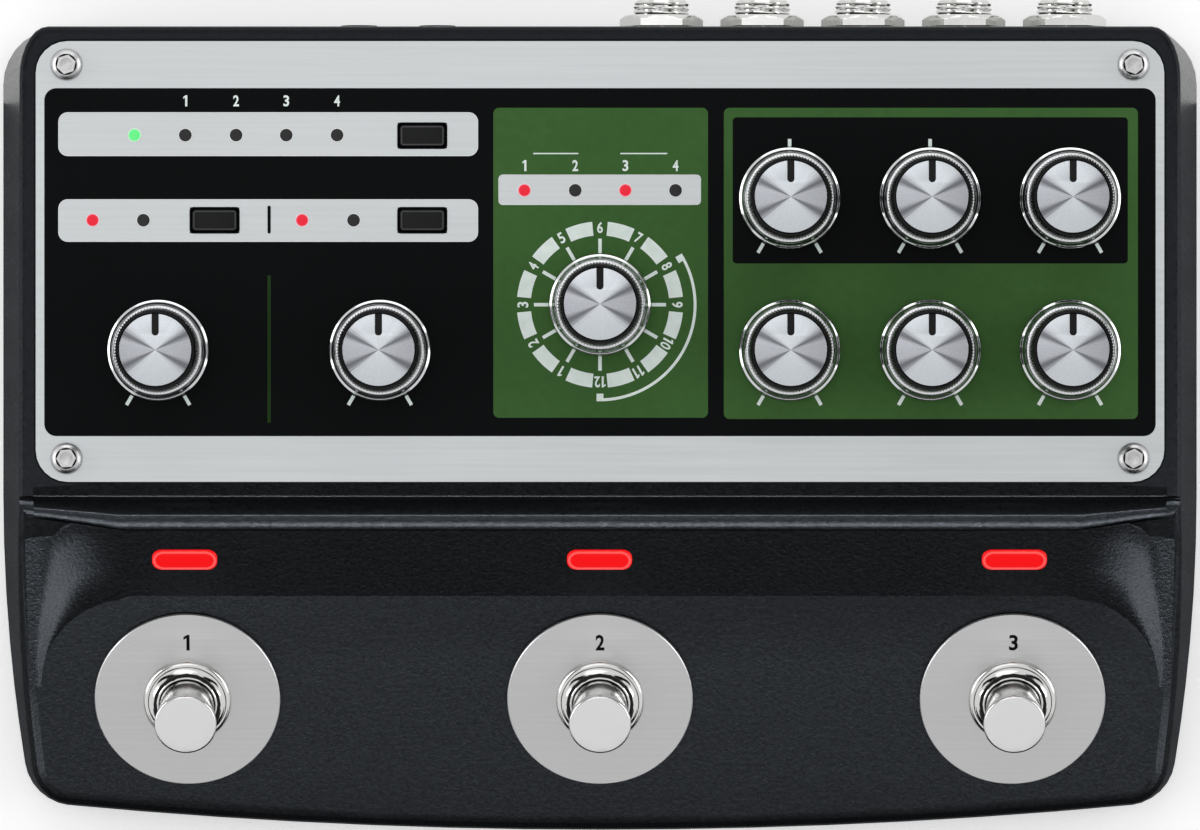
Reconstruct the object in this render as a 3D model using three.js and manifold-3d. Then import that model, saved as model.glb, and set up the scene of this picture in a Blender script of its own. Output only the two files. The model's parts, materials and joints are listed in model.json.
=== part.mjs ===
// Desktop echo unit: a cast housing with a sloping foot pocket, nine knobs, three footswitches and a
// row of jacks. Millimetres, +Z up, +Y towards the jacks, origin on the desk under the middle.

import * as THREE from 'three';
import { mergeVertices } from 'three/addons/utils/BufferGeometryUtils.js';
import Module from 'manifold-3d';

const wasm = await Module();
wasm.setup();

const DEG = Math.PI / 180;

// Fits that serve every piece
const seatGap = 0.3;
const overrun = 1;

// Overall size
const unitDepth = 132.6;
const halfWidth = 96;
const footHeight = 2;
const platformHeight = 39;

// Housing outline, seen from above
const jackReach = 3.9;
const rearCornerRadius = 9;
const frontCornerRadius = 8;
const frontTaper = 3.4;
const frontBow = 4;
const bowEndAngle = 5.4 * DEG;
const sideEndAngle = 8.7 * DEG;
const sideDraft = 4.4;
const endDraft = 0.8;
const sideStationShares = [0.16, 0.45, 0.63, 0.82];
const shownSteps = { bowSteps: 7, cornerSteps: 6, rearSteps: 7 };
const hiddenSteps = { bowSteps: 4, cornerSteps: 3, rearSteps: 3 };

// Housing section, from the front lip up to the platform
const lipInset = 3.2;
const lipHeight = 11.5;
const footPlaneAngle = 23 * DEG;
const footPlaneDepth = 34.9;
const slopeDepth = 11;
const ledgeDepth = 4.8;
const stepHeight = 4.8;
const rimReach = 30.6;
const platformEdgeRadius = 1.2;
const rimRadius = 2.3;
const wall = 2.2;

// Foot pocket: its floor corners, and how far its sides have opened at platform height
const pocketSideInset = 4.6;
const pocketCornerRadius = 14.4;
const pocketFlare = 14;
const pocketTopRadius = 28;

// Face plate, let into the platform and held by four button-head screws
const plateThickness = 1;
const plateRecess = 0.6;
const plateSideMargin = 2.75;
const plateRearMargin = 2.4;
const plateFrontMargin = 2.2;
const plateCornerRadius = 5;
const screwHeadRadius = 2.5;
const screwHeadHeight = 1.4;
const screwShoulderAngle = 68 * DEG;
const screwRadius = 1.5;
const screwLength = 6;
const socketRadius = 1.47;
const socketDepth = 0.9;
const screwSideShare = 0.9454;
const screwEndInset = 3.7;
const bossRadius = 3;

// Knobs: a flared skirt, a serrated barrel, a shaft, and a spun disc with a pointer slot
const knobRadius = 8;
const knobLipRadius = 6.9;
const barrelRadius = 6.75;
const serrationDepth = 0.4;
const serrations = 18;
const knobHeight = 11.8;
const knobClearance = 0.5;
const skirtHeight = 3.4;
const skirtEdge = 0.8;
const discRadius = 5.6;
const discThickness = 0.5;
const slotWidth = 1.07;
const slotLength = 3.4;
const shaftRadius = 3;
const shaftLength = 9.5;

// Potentiometers and other parts on the panel board
const panelBoardThickness = 1.6;
const potSize = 11;
const potHeight = 6.8;
const bushRadius = 4.4;
const lampRadius = 0.75;
const lampHoleRadius = 1.05;
const switchSize = 6;
const switchHeight = 3.6;

// Push buttons
const buttonWidth = 7;
const buttonDepth = 3.3;
const buttonCorner = 0.35;
const buttonProud = 0.35;
const buttonTravel = 0.5;
const wellClearance = 0.38;

// Footswitches, square to the foot plane
const footPlateRadius = 14.75;
const footPlateThickness = 0.8;
const footBushRadius = 5.35;
const footBoreRadius = 4.75;
const footBushProud = 0.5;
const footNutWall = 1.35;
const footNutHeight = 1.2;
const footNutEdge = 0.45;
const plungerRadius = 4.95;
const plungerStemRadius = 4.35;
const plungerFlare = 7;
const plungerReach = 10;
const plungerEdge = 0.3;
const footTravel = 2.5;
const footBodySize = 13;
const footBodyDepth = 8.4;

// Indicator lenses in the slope above the footswitches
const lensWidth = 10.3;
const lensDepth = 3.8;
const lensProud = 0.4;
const lensFlange = 1;
const lensFlangeThickness = 0.9;

// Jacks in the rear wall
const jackCount = 5;
const jackHeadroom = 0.8;
const sleeveRadius = 4.5;
const jackBoreRadius = 3.25;
const jackBodyHeight = 13.4;
const jackBodyDepth = 20;
const jackBodyClearance = 3;
const jackPostClearance = 0.53;
const nutMargin = 1.25;
const nutThickness = 2;
const powerRadius = 4.6;
const powerBoreRadius = 2.9;
const powerPinRadius = 1;
const powerBodyWidth = 11;
const usbWidth = 8.4;
const usbHeight = 3.4;
const usbCornerRadius = 1.5;
const usbDepth = 9;
const miniRadius = 2.9;
const miniBoreRadius = 1.8;
const miniBodyWidth = 8;
const miniBodyDepth = 12;

// Main board, bottom cover and feet
const mainBoardThickness = 1.6;
const boardEdgeClearance = 1.2;
const boardWidthShare = 0.902;
const coverThickness = 1.2;
const standoffRadius = 3;
const chipSize = 16;
const chipHeight = 1.6;
const chipPlaceShares = [[-0.33, -0.25], [0, -0.25], [0.33, -0.25]];
const footRadius = 6;
const footInset = 14;

// Places on the face plate, as shares of its half width and half depth from its centre
const knobPlaceShares = {
  saturation: [-0.783, -0.403],
  wow: [-0.39, -0.403],
  mode: [0, -0.196],
  bass: [0.336, 0.288],
  treble: [0.585, 0.288],
  reverb_volume: [0.833, 0.288],
  repeat: [0.336, -0.403],
  intensity: [0.585, -0.403],
  echo_volume: [0.833, -0.403],
};
const buttonPlaceShares = {
  memory: [-0.315, 0.571],
  input: [-0.683, 0.187],
  tape: [-0.315, 0.187],
};
const lampRowShares = [
  [[-0.825, 0.573], [-0.735, 0.573], [-0.645, 0.573], [-0.556, 0.573], [-0.466, 0.573]],
  [[-0.899, 0.187], [-0.809, 0.187]],
  [[-0.528, 0.187], [-0.437, 0.187]],
  [[-0.134, 0.323], [-0.044, 0.323], [0.045, 0.323], [0.134, 0.323]],
];

// Places across the unit, as shares of its half width
const footswitchShares = { left: -0.684, middle: 0, right: 0.684 };
const footswitchDepthShare = 0.53;
const lensDepthShare = 0.52;
const firstJackShare = 0.1016;
const powerShare = -0.76;
const usbShare = -0.6;
const miniShares = [-0.4, -0.27];

// Ends of the ledge, where it climbs into the rim: place across, then its depth and width there
const ledgeEndShares = [[0.83, 1, 1], [0.917, 0.72, 0.76], [0.985, 0.36, 0.6], [1.04, 0.06, 0.5]];

// Section of the step and ledge: how far forward and how far down, as shares of the two
const ledgeSectionShares = [
  [0, 0], [0.07, 0.4], [0.15, 0.7], [0.3, 0.9], [0.5, 0.99], [0.8, 1], [1, 1.06], [1.18, 1.2],
];

// Posts under the front of the housing that take the cover's screws
const frontPostShares = [[-0.875, -0.73], [-0.343, -0.8], [0.343, -0.8], [0.875, -0.73]];

// Values worked out from the sizes above
const frontY = -unitDepth / 2;
const rearY = unitDepth / 2 - jackReach;
const lipY = frontY + lipInset;
const slopeBottomY = lipY + footPlaneDepth;
const slopeTopY = slopeBottomY + slopeDepth;
const platformFrontY = slopeTopY + ledgeDepth;
const ledgeHeight = platformHeight - stepHeight;
const slopeBottomHeight = footPlaneHeight(slopeBottomY);
const slopeTilt = Math.atan2(ledgeHeight - slopeBottomHeight, slopeDepth);
const rimEndY = platformFrontY - rimReach;
const rimEndHeight = footPlaneHeight(rimEndY);
const topHalfWidth = halfWidth - sideDraft;
const plateHalfWidth = topHalfWidth - plateSideMargin;
const plateRearY = rearY - endDraft - plateRearMargin;
const plateFrontY = platformFrontY + plateFrontMargin;
const plateHalfDepth = (plateRearY - plateFrontY) / 2;
const plateCentreY = (plateRearY + plateFrontY) / 2;
const plateBottom = platformHeight - plateRecess + seatGap;
const plateTop = plateBottom + plateThickness;
const ceiling = platformHeight - plateRecess - wall;
const potTop = ceiling - seatGap;
const panelBoardTop = potTop - potHeight;
const panelBoardBottom = panelBoardTop - panelBoardThickness;
const knobBottom = plateTop + knobClearance;
const jackHeight = panelBoardBottom - jackHeadroom - jackBodyHeight / 2;
const rearInnerY = rearY - endDraft - wall;
const mainBoardTop = jackHeight - jackBodyHeight / 2 - seatGap;
const mainBoardBottom = mainBoardTop - mainBoardThickness;
const coverTop = footHeight + coverThickness;

// Height of the foot plane at a place between its lip and the slope
function footPlaneHeight(y) {
  return lipHeight + (y - lipY) * Math.tan(footPlaneAngle);
}

// Height of the housing's upper edge all round: platform, falling rim, then foot plane
function rimHeight(y) {
  if (y >= platformFrontY) return platformHeight;
  if (y <= rimEndY) return footPlaneHeight(y);
  return THREE.MathUtils.mapLinear(y, rimEndY, platformFrontY, rimEndHeight, platformHeight);
}

// Radius of that edge, which opens out along the falling rim
function edgeRadius(y) {
  const along = THREE.MathUtils.smoothstep(-y, -platformFrontY, -rimEndY);
  return THREE.MathUtils.lerp(platformEdgeRadius, rimRadius, along);
}

// Solids from three.js geometry, and back again
function toSolid(geometry) {
  const bare = geometry.clone();
  for (const name of Object.keys(bare.attributes)) {
    if (name !== 'position') bare.deleteAttribute(name);
  }
  const merged = mergeVertices(bare);
  const corners = merged.index.array;
  const faces = [];
  for (let i = 0; i < corners.length; i += 3) {
    const [a, b, c] = [corners[i], corners[i + 1], corners[i + 2]];
    if (a !== b && b !== c && c !== a) faces.push(a, b, c);
  }
  return new wasm.Manifold(new wasm.Mesh({
    numProp: 3,
    vertProperties: new Float32Array(merged.attributes.position.array),
    triVerts: new Uint32Array(faces),
  }));
}

function toGeometry(solid) {
  const mesh = solid.getMesh();
  const geometry = new THREE.BufferGeometry();
  geometry.setAttribute('position', new THREE.BufferAttribute(mesh.vertProperties, 3));
  geometry.setIndex(new THREE.BufferAttribute(mesh.triVerts, 1));
  geometry.computeVertexNormals();
  return geometry;
}

function join(...geometries) {
  return geometries.map(toSolid).reduce((whole, piece) => whole.add(piece));
}

function cut(solid, cutters) {
  return cutters.reduce((rest, cutter) => rest.subtract(toSolid(cutter)), solid);
}

// Simple shapes, each given by its lowest and highest level
function block(width, depth, bottom, top, x = 0, y = 0) {
  const shape = new THREE.BoxGeometry(width, depth, top - bottom);
  return shape.translate(x, y, (bottom + top) / 2);
}

function rod(radius, bottom, top, sides, x = 0, y = 0) {
  const shape = new THREE.CylinderGeometry(radius, radius, top - bottom, sides);
  return shape.rotateX(90 * DEG).translate(x, y, (bottom + top) / 2);
}

function turned(profile, sides) {
  const outline = profile.map(([radius, height]) => new THREE.Vector2(radius, height));
  return new THREE.LatheGeometry(outline, sides).rotateX(90 * DEG);
}

function extruded(shape, bottom, top, curveSegments) {
  const options = { depth: top - bottom, bevelEnabled: false, curveSegments };
  return new THREE.ExtrudeGeometry(shape, options).translate(0, 0, bottom);
}

function circle(radius, sides, x = 0, y = 0) {
  return Array.from({ length: sides }, (_, i) => {
    const angle = 360 * DEG * i / sides;
    return new THREE.Vector2(x + radius * Math.cos(angle), y + radius * Math.sin(angle));
  });
}

function roundedRectangle(width, depth, radius) {
  const [w, d] = [width / 2, depth / 2];
  const shape = new THREE.Shape();
  shape.absarc(w - radius, -d + radius, radius, -90 * DEG, 0);
  shape.absarc(w - radius, d - radius, radius, 0, 90 * DEG);
  shape.absarc(-w + radius, d - radius, radius, 90 * DEG, 180 * DEG);
  shape.absarc(-w + radius, -d + radius, radius, 180 * DEG, 270 * DEG);
  return shape;
}

function roundedBlock(width, depth, radius, bottom, top, x = 0, y = 0) {
  return extruded(roundedRectangle(width, depth, radius), bottom, top, 3).translate(x, y, 0);
}

// Skin over a stack of rings with equal counts of points, closed by the faces given for its ends
function skin(rings, startFaces, endFaces) {
  const count = rings[0].length;
  const faces = [];
  for (let level = 0; level < rings.length - 1; level += 1) {
    for (let i = 0; i < count; i += 1) {
      const next = (i + 1) % count;
      const [low, high] = [level * count, (level + 1) * count];
      faces.push([low + i, low + next, high + next], [low + i, high + next, high + i]);
    }
  }
  const last = (rings.length - 1) * count;
  startFaces.forEach(([a, b, c]) => faces.push([c, b, a]));
  endFaces.forEach(([a, b, c]) => faces.push([last + a, last + b, last + c]));
  const points = rings.flat();
  const geometry = new THREE.BufferGeometry().setFromPoints(points);
  const volume = faces.reduce((sum, [a, b, c]) => (
    sum + points[a].dot(points[b].clone().cross(points[c]))), 0);
  const outward = faces.map(([a, b, c]) => (volume > 0 ? [a, b, c] : [a, c, b]));
  geometry.setIndex(outward.flat());
  return geometry;
}

// Triangles over the chosen points of a ring, seen along one axis
function endFaces(ring, across, up, chosen = ring.map((_, i) => i)) {
  const outline = chosen.map((i) => new THREE.Vector2(ring[i][across], ring[i][up]));
  const turn = THREE.ShapeUtils.isClockWise(outline) ? -1 : 1;
  return THREE.ShapeUtils.triangulateShape(outline, []).map(([a, b, c]) => (
    turn > 0 ? [chosen[a], chosen[b], chosen[c]] : [chosen[a], chosen[c], chosen[b]]));
}

// Right half of the outline, from the middle of the front edge to the middle of the rear
function halfOutline({ bowSteps, cornerSteps, rearSteps }) {
  const points = [];
  const add = (x, y, nx, ny) => points.push({ x, y, nx, ny });
  const cornerX = halfWidth - frontTaper - frontCornerRadius;
  const cornerY = frontY + frontBow + frontCornerRadius * Math.cos(bowEndAngle);
  const bowEndX = cornerX + frontCornerRadius * Math.sin(bowEndAngle);
  for (let i = 0; i < bowSteps; i += 1) {
    const share = i / bowSteps;
    add(bowEndX * share, frontY + frontBow * share ** 2, 0, -1);
  }
  for (let i = 0; i <= cornerSteps; i += 1) {
    const angle = THREE.MathUtils.lerp(-90 * DEG + bowEndAngle, -sideEndAngle, i / cornerSteps);
    const [c, s] = [Math.cos(angle), Math.sin(angle)];
    add(cornerX + frontCornerRadius * c, cornerY + frontCornerRadius * s, c, s);
  }
  const taperEnd = points.at(-1);
  const taperX = halfWidth - taperEnd.x;
  const taperY = platformFrontY - taperEnd.y;
  const stations = sideStationShares.map((share) => taperEnd.y + taperY * share);
  for (const y of [...stations, rimEndY, platformFrontY].sort((a, b) => a - b)) {
    add(halfWidth - taperX * ((platformFrontY - y) / taperY) ** 2, y, 1, 0);
  }
  for (let i = 0; i <= rearSteps; i += 1) {
    const [c, s] = [Math.cos(90 * DEG * i / rearSteps), Math.sin(90 * DEG * i / rearSteps)];
    add(halfWidth - rearCornerRadius * (1 - c), rearY - rearCornerRadius * (1 - s), c, s);
  }
  add(0, rearY, 0, 1);
  return points;
}

function outline(steps) {
  const half = halfOutline(steps);
  const mirrored = half.slice(1, -1).reverse().map((p) => ({ ...p, x: -p.x, nx: -p.nx }));
  return [...half, ...mirrored];
}

// A point of the drafted outer wall at a height, moved inwards by an inset
function wallPoint({ x, y, nx, ny }, height, inset) {
  const share = (height - footHeight) / (platformHeight - footHeight);
  const wallX = x - nx * (sideDraft * share + inset);
  const wallY = y - ny * (endDraft * share + inset);
  return new THREE.Vector3(wallX, wallY, height);
}

// Outside of the housing before the foot pocket is carved
function housingOutside() {
  const around = outline(shownSteps);
  const level = (height, inset) => around.map((p) => wallPoint(p, height, inset));
  const edge = (angle) => around.map((p) => {
    const radius = edgeRadius(p.y);
    const top = wallPoint(p, rimHeight(p.y), radius * (1 - Math.sin(angle)));
    top.z = rimHeight(top.y) - radius * (1 - Math.cos(angle));
    return top;
  });
  const rings = [
    level(footHeight, platformEdgeRadius),
    level(footHeight + platformEdgeRadius, 0),
    edge(90 * DEG), edge(60 * DEG), edge(30 * DEG), edge(0),
  ];
  const top = rings.at(-1);
  const within = (low, high) => top.map((_, i) => i).filter((i) => (
    around[i].y >= low && around[i].y <= high));
  const front = within(-unitDepth, rimEndY);
  const rim = within(rimEndY, platformFrontY);
  const rear = within(platformFrontY, unitDepth);
  const caps = [front, rim, rear].flatMap((chosen) => endFaces(top, 'x', 'y', chosen));
  return skin(rings, endFaces(rings[0], 'x', 'y'), caps);
}

// Pocket carved for the foot: flat floor, with sides that open upwards round two corners
function pocketRing(side, rear, radius, heightAt) {
  const points = [new THREE.Vector3(side, rimEndY, 0)];
  const steps = 9;
  for (const [centreX, start] of [[side - radius, 0], [radius - side, 90 * DEG]]) {
    for (let i = 0; i <= steps; i += 1) {
      const angle = start + 90 * DEG * i / steps;
      const x = centreX + radius * Math.cos(angle);
      const y = rear - radius + radius * Math.sin(angle);
      points.push(new THREE.Vector3(x, Math.max(y, rimEndY), 0));
    }
  }
  points.push(new THREE.Vector3(-side, rimEndY, 0));
  points.forEach((p) => { p.z = heightAt(p.y); });
  return points;
}

function pocketCutter() {
  const floorSide = halfWidth - sideDraft / 2 - pocketSideInset;
  const floor = pocketRing(floorSide, slopeBottomY, pocketCornerRadius, footPlaneHeight);
  const rise = platformHeight - slopeBottomHeight;
  const openRear = slopeBottomY + rise / Math.tan(slopeTilt);
  const open = pocketRing(floorSide + pocketFlare, openRear, pocketTopRadius, () => platformHeight);
  const extra = 1 + overrun / rise;
  const top = floor.map((p, i) => p.clone().lerp(open[i], extra));
  return skin([floor, top], endFaces(floor, 'x', 'y'), endFaces(top, 'x', 'y'));
}

// Groove along the foot of the platform, which leaves the step and the ledge
function ledgeCutter() {
  const ring = (x, depthShare, widthShare) => {
    const section = ledgeSectionShares.map(([forward, down]) => new THREE.Vector3(
      x,
      platformFrontY - forward * ledgeDepth * widthShare,
      platformHeight - down * stepHeight * depthShare,
    ));
    const above = [section.at(-1), section[0]].map((p) => (
      new THREE.Vector3(x, p.y, platformHeight + overrun)));
    return [...section, ...above];
  };
  const right = ledgeEndShares.map(([across, depth, width]) => ring(across * topHalfWidth, depth, width));
  const left = ledgeEndShares.map(([across, depth, width]) => ring(-across * topHalfWidth, depth, width));
  const rings = [...left.reverse(), ...right];
  return skin(rings, endFaces(rings[0], 'y', 'z'), endFaces(rings.at(-1), 'y', 'z'));
}

// Hollow of the housing, open underneath
function cavity() {
  const around = outline(hiddenSteps);
  const level = (height) => around.map((p) => wallPoint(p, height, wall));
  const rings = [level(footHeight - overrun), level(platformHeight)];
  const walls = skin(rings, endFaces(rings[0], 'x', 'y'), endFaces(rings[1], 'x', 'y'));
  const under = footPlaneHeight(0) - wall / Math.cos(footPlaneAngle);
  const slopeBack = wall * Math.tan(slopeTilt / 2);
  const deeper = wall / Math.cos(slopeTilt) - wall / Math.cos(footPlaneAngle);
  const bendY = slopeBottomY + deeper / (Math.tan(slopeTilt) - Math.tan(footPlaneAngle));
  const profile = new THREE.Shape();
  profile.moveTo(unitDepth, 0);
  profile.lineTo(unitDepth, ceiling);
  profile.lineTo(platformFrontY + wall, ceiling);
  profile.lineTo(platformFrontY + wall, ledgeHeight - wall);
  profile.lineTo(slopeTopY + slopeBack, ledgeHeight - wall);
  profile.lineTo(bendY, under + bendY * Math.tan(footPlaneAngle));
  profile.lineTo(-unitDepth, under - unitDepth * Math.tan(footPlaneAngle));
  profile.lineTo(-unitDepth, -unitDepth);
  profile.lineTo(unitDepth, -unitDepth);
  const depth = 2 * halfWidth;
  const roof = new THREE.ExtrudeGeometry(profile, { depth, bevelEnabled: false });
  roof.translate(0, 0, -halfWidth).rotateX(90 * DEG).rotateZ(90 * DEG);
  return toSolid(walls).intersect(toSolid(roof));
}

// Places of what sits on the face plate and in the rear wall
function platePlace([across, along]) {
  return [across * plateHalfWidth, plateCentreY + along * plateHalfDepth];
}

const screwX = plateHalfWidth * screwSideShare;
const screwPlaces = [
  [-screwX, plateRearY - screwEndInset],
  [screwX, plateRearY - screwEndInset],
  [-screwX, plateFrontY + screwEndInset],
  [screwX, plateFrontY + screwEndInset],
];
const knobPlaces = Object.entries(knobPlaceShares).map(([name, place]) => [name, platePlace(place)]);
const buttonPlaces = Object.entries(buttonPlaceShares).map(([name, p]) => [name, platePlace(p)]);
const lampRows = lampRowShares.map((row) => row.map(platePlace));
const lampPlaces = lampRows.flat();

// The jacks share the wall evenly, and the last body stays clear of the post beside it
const firstJackX = firstJackShare * halfWidth;
const jackWallEnd = screwX - bossRadius - jackPostClearance + jackBodyClearance / 2;
const jackPitch = (jackWallEnd - firstJackX) / (jackCount - 0.5);
const jackPlaces = Array.from({ length: jackCount }, (_, i) => firstJackX + jackPitch * i);
const jackBodyWidth = jackPitch - jackBodyClearance;
const usbZ = mainBoardTop + usbHeight / 2;
const miniZ = mainBoardTop + miniBodyWidth / 2;

// Frames square to the foot plane and to the slope above it
function tiltedFrame(x, y, height, tilt) {
  return new THREE.Matrix4().makeRotationX(tilt).setPosition(x, y, height);
}

const footswitchY = lipY + footswitchDepthShare * footPlaneDepth;
const lensY = slopeBottomY + lensDepthShare * slopeDepth;
const lensHeight = slopeBottomHeight + (lensY - slopeBottomY) * Math.tan(slopeTilt);

function footswitchFrame(share) {
  return tiltedFrame(share * halfWidth, footswitchY, footPlaneHeight(footswitchY), footPlaneAngle);
}

function lensFrame(share) {
  return tiltedFrame(share * halfWidth, lensY, lensHeight, slopeTilt);
}

// Housing: cast shell with posts, and holes for everything that passes through it
function housingPosts() {
  const low = coverTop + seatGap;
  const sides = 8;
  const underPlate = screwPlaces.map(([x, y]) => rod(bossRadius, low, ceiling + wall / 2, sides, x, y));
  const inFront = frontPostShares.map(([across, along]) => {
    const [x, y] = [across * halfWidth, along * unitDepth / 2];
    return rod(bossRadius, low, footPlaneHeight(y) - wall / 2, sides, x, y);
  });
  return [...underPlate, ...inFront];
}

function housingHoles() {
  const top = platformHeight + overrun;
  const hiddenSides = 8;
  const low = ceiling - overrun;
  const knobHoles = knobPlaces.map(([, [x, y]]) => rod(bushRadius + seatGap, low, top, hiddenSides, x, y));
  const lampSlots = lampRows.map((row) => {
    const [[firstX, y], [lastX]] = [row[0], row.at(-1)];
    const length = lastX - firstX + 2 * lampHoleRadius;
    return block(length, 2 * lampHoleRadius, low, top, (firstX + lastX) / 2, y);
  });
  const wells = buttonPlaces.map(([, [x, y]]) => block(
    buttonWidth + 2 * wellClearance, buttonDepth + 2 * wellClearance, low, top, x, y));
  const screwHoles = screwPlaces.map(([x, y]) => (
    rod(screwRadius + seatGap, plateBottom - screwLength - overrun, top, 8, x, y)));
  const reach = 2 * wall + 2 * lensDepth;
  const switchHoles = Object.values(footswitchShares).map((share) => (
    rod(footBushRadius + seatGap, -reach, reach, 20).applyMatrix4(footswitchFrame(share))));
  const windows = Object.values(footswitchShares).map((share) => roundedBlock(
    lensWidth + 2 * seatGap, lensDepth + 2 * seatGap, lensDepth / 2, -reach, reach,
  ).applyMatrix4(lensFrame(share)));
  return [...knobHoles, ...lampSlots, ...wells, ...screwHoles, ...switchHoles, ...windows];
}

function rearHoles() {
  const [from, to] = [rearInnerY - overrun, rearY + overrun];
  const through = (radius, x, height, sides) => (
    rod(radius + seatGap, from, to, sides).rotateX(-90 * DEG).translate(x, 0, height));
  const jacks = jackPlaces.map((x) => through(sleeveRadius, x, jackHeight, 16));
  const minis = miniShares.map((share) => through(miniRadius, share * halfWidth, miniZ, 12));
  const power = through(powerRadius, powerShare * halfWidth, jackHeight, 16);
  const usb = roundedBlock(
    usbWidth + 2 * seatGap, usbHeight + 2 * seatGap, usbCornerRadius, from, to,
  ).rotateX(-90 * DEG).translate(usbShare * halfWidth, 0, usbZ);
  return [...jacks, ...minis, power, usb];
}

function housing() {
  const recess = roundedBlock(
    2 * (plateHalfWidth + seatGap), 2 * (plateHalfDepth + seatGap), plateCornerRadius + seatGap,
    platformHeight - plateRecess, platformHeight + overrun, 0, plateCentreY);
  const clipY = slopeTopY + ledgeDepth / 2;
  const beforeLedge = block(
    4 * halfWidth, unitDepth, 0, 2 * platformHeight, 0, clipY - unitDepth / 2);
  const pocket = toSolid(pocketCutter()).intersect(toSolid(beforeLedge));
  const shell = toSolid(housingOutside()).subtract(pocket).subtract(cavity());
  const withPosts = housingPosts().reduce((whole, post) => whole.add(toSolid(post)), shell);
  return toGeometry(cut(withPosts, [ledgeCutter(), recess, ...housingHoles(), ...rearHoles()]));
}

// Face plate with its round, oblong and screw holes
function facePlate() {
  const [low, high] = [-overrun, plateThickness + overrun];
  const sheet = roundedBlock(
    2 * plateHalfWidth, 2 * plateHalfDepth, plateCornerRadius, 0, plateThickness);
  const holes = (places, radius, sides) => places.map(([x, y]) => (
    rod(radius, low, high, sides, x, y - plateCentreY)));
  const wells = buttonPlaces.map(([, [x, y]]) => block(
    buttonWidth + 2 * wellClearance, buttonDepth + 2 * wellClearance, low, high, x, y - plateCentreY));
  return toGeometry(cut(toSolid(sheet), [
    ...holes(knobPlaces.map(([, p]) => p), shaftRadius + 2 * seatGap, 10),
    ...holes(lampPlaces, lampHoleRadius, 8),
    ...holes(screwPlaces, screwRadius + seatGap, 8),
    ...wells,
  ]));
}

// Bottom cover, with standoffs that carry the main board
function bottomCover() {
  const around = outline(hiddenSteps);
  const level = (height) => around.map((p) => wallPoint(p, height, wall + seatGap));
  const rings = [level(footHeight), level(coverTop)];
  const sheet = skin(rings, endFaces(rings[0], 'x', 'y'), endFaces(rings[1], 'x', 'y'));
  const standoffs = standoffPlaces.map(([x, y]) => (
    rod(standoffRadius, coverTop - coverThickness / 2, mainBoardBottom - seatGap, 12, x, y)));
  return toGeometry(join(sheet, ...standoffs));
}

const boardHalfWidth = plateHalfWidth * boardWidthShare;
const boardRearY = rearInnerY - boardEdgeClearance;
const mainBoardFrontY = platformFrontY + 2 * boardEdgeClearance;
const panelBoardFrontY = plateFrontY + screwEndInset;
const standoffX = boardHalfWidth - 3 * standoffRadius;
const standoffPlaces = [
  [-standoffX, mainBoardFrontY + 2 * standoffRadius],
  [standoffX, mainBoardFrontY + 2 * standoffRadius],
  [-standoffX, boardRearY - 2 * standoffRadius],
  [standoffX, boardRearY - 2 * standoffRadius],
];

// Panel board with the potentiometers, tact switches and lamps that stand on it
function panelBoard() {
  const centre = (panelBoardFrontY + boardRearY) / 2;
  const depth = boardRearY - panelBoardFrontY;
  const sheet = block(2 * boardHalfWidth, depth, panelBoardBottom, panelBoardTop, 0, centre);
  const base = panelBoardTop - panelBoardThickness / 2;
  const pots = knobPlaces.flatMap(([, [x, y]]) => [
    block(potSize, potSize, base, potTop, x, y),
    rod(bushRadius, base, platformHeight - plateRecess, 8, x, y),
  ]);
  const lamps = lampPlaces.map(([x, y]) => rod(lampRadius, base, plateTop, 5, x, y));
  const switches = buttonPlaces.map(([, [x, y]]) => (
    block(switchSize, switchSize, base, panelBoardTop + switchHeight, x, y)));
  const bores = knobPlaces.map(([, [x, y]]) => (
    rod(shaftRadius + 2 * seatGap, knobBottom - shaftLength - seatGap, plateTop, 8, x, y)));
  return toGeometry(cut(join(sheet, ...pots, ...lamps, ...switches), bores));
}

// Main board with its chips, the USB socket and two small jacks
function mainBoard() {
  const centre = (mainBoardFrontY + boardRearY) / 2;
  const depth = boardRearY - mainBoardFrontY;
  const sheet = block(2 * boardHalfWidth, depth, mainBoardBottom, mainBoardTop, 0, centre);
  const base = mainBoardTop - mainBoardThickness / 2;
  const chips = chipPlaceShares.map(([across, along]) => block(
    chipSize, chipSize, base, mainBoardTop + chipHeight, across * halfWidth, centre + along * depth));
  const front = rearY - endDraft / 2;
  const usb = roundedBlock(usbWidth, usbHeight, usbCornerRadius, front - usbDepth, front)
    .rotateX(-90 * DEG).translate(usbShare * halfWidth, 0, usbZ - seatGap / 2);
  const usbHole = roundedBlock(
    usbWidth - 2 * seatGap, usbHeight - 2 * seatGap, usbCornerRadius - seatGap,
    front - usbDepth / 2, front + overrun,
  ).rotateX(-90 * DEG).translate(usbShare * halfWidth, 0, usbZ - seatGap / 2);
  const minis = miniShares.flatMap((share) => {
    const x = share * halfWidth;
    const bodyRear = rearInnerY - seatGap;
    const bodyY = bodyRear - miniBodyDepth / 2;
    return [
      block(miniBodyWidth, miniBodyDepth, base, mainBoardTop + miniBodyWidth, x, bodyY),
      rod(miniRadius, bodyRear - overrun, rearY, 12).rotateX(-90 * DEG).translate(x, 0, miniZ),
    ];
  });
  const miniHoles = miniShares.map((share) => (
    rod(miniBoreRadius, rearInnerY - miniBodyDepth, rearY + overrun, 10)
      .rotateX(-90 * DEG).translate(share * halfWidth, 0, miniZ)));
  return toGeometry(cut(join(sheet, ...chips, usb, ...minis), [usbHole, ...miniHoles]));
}

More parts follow.
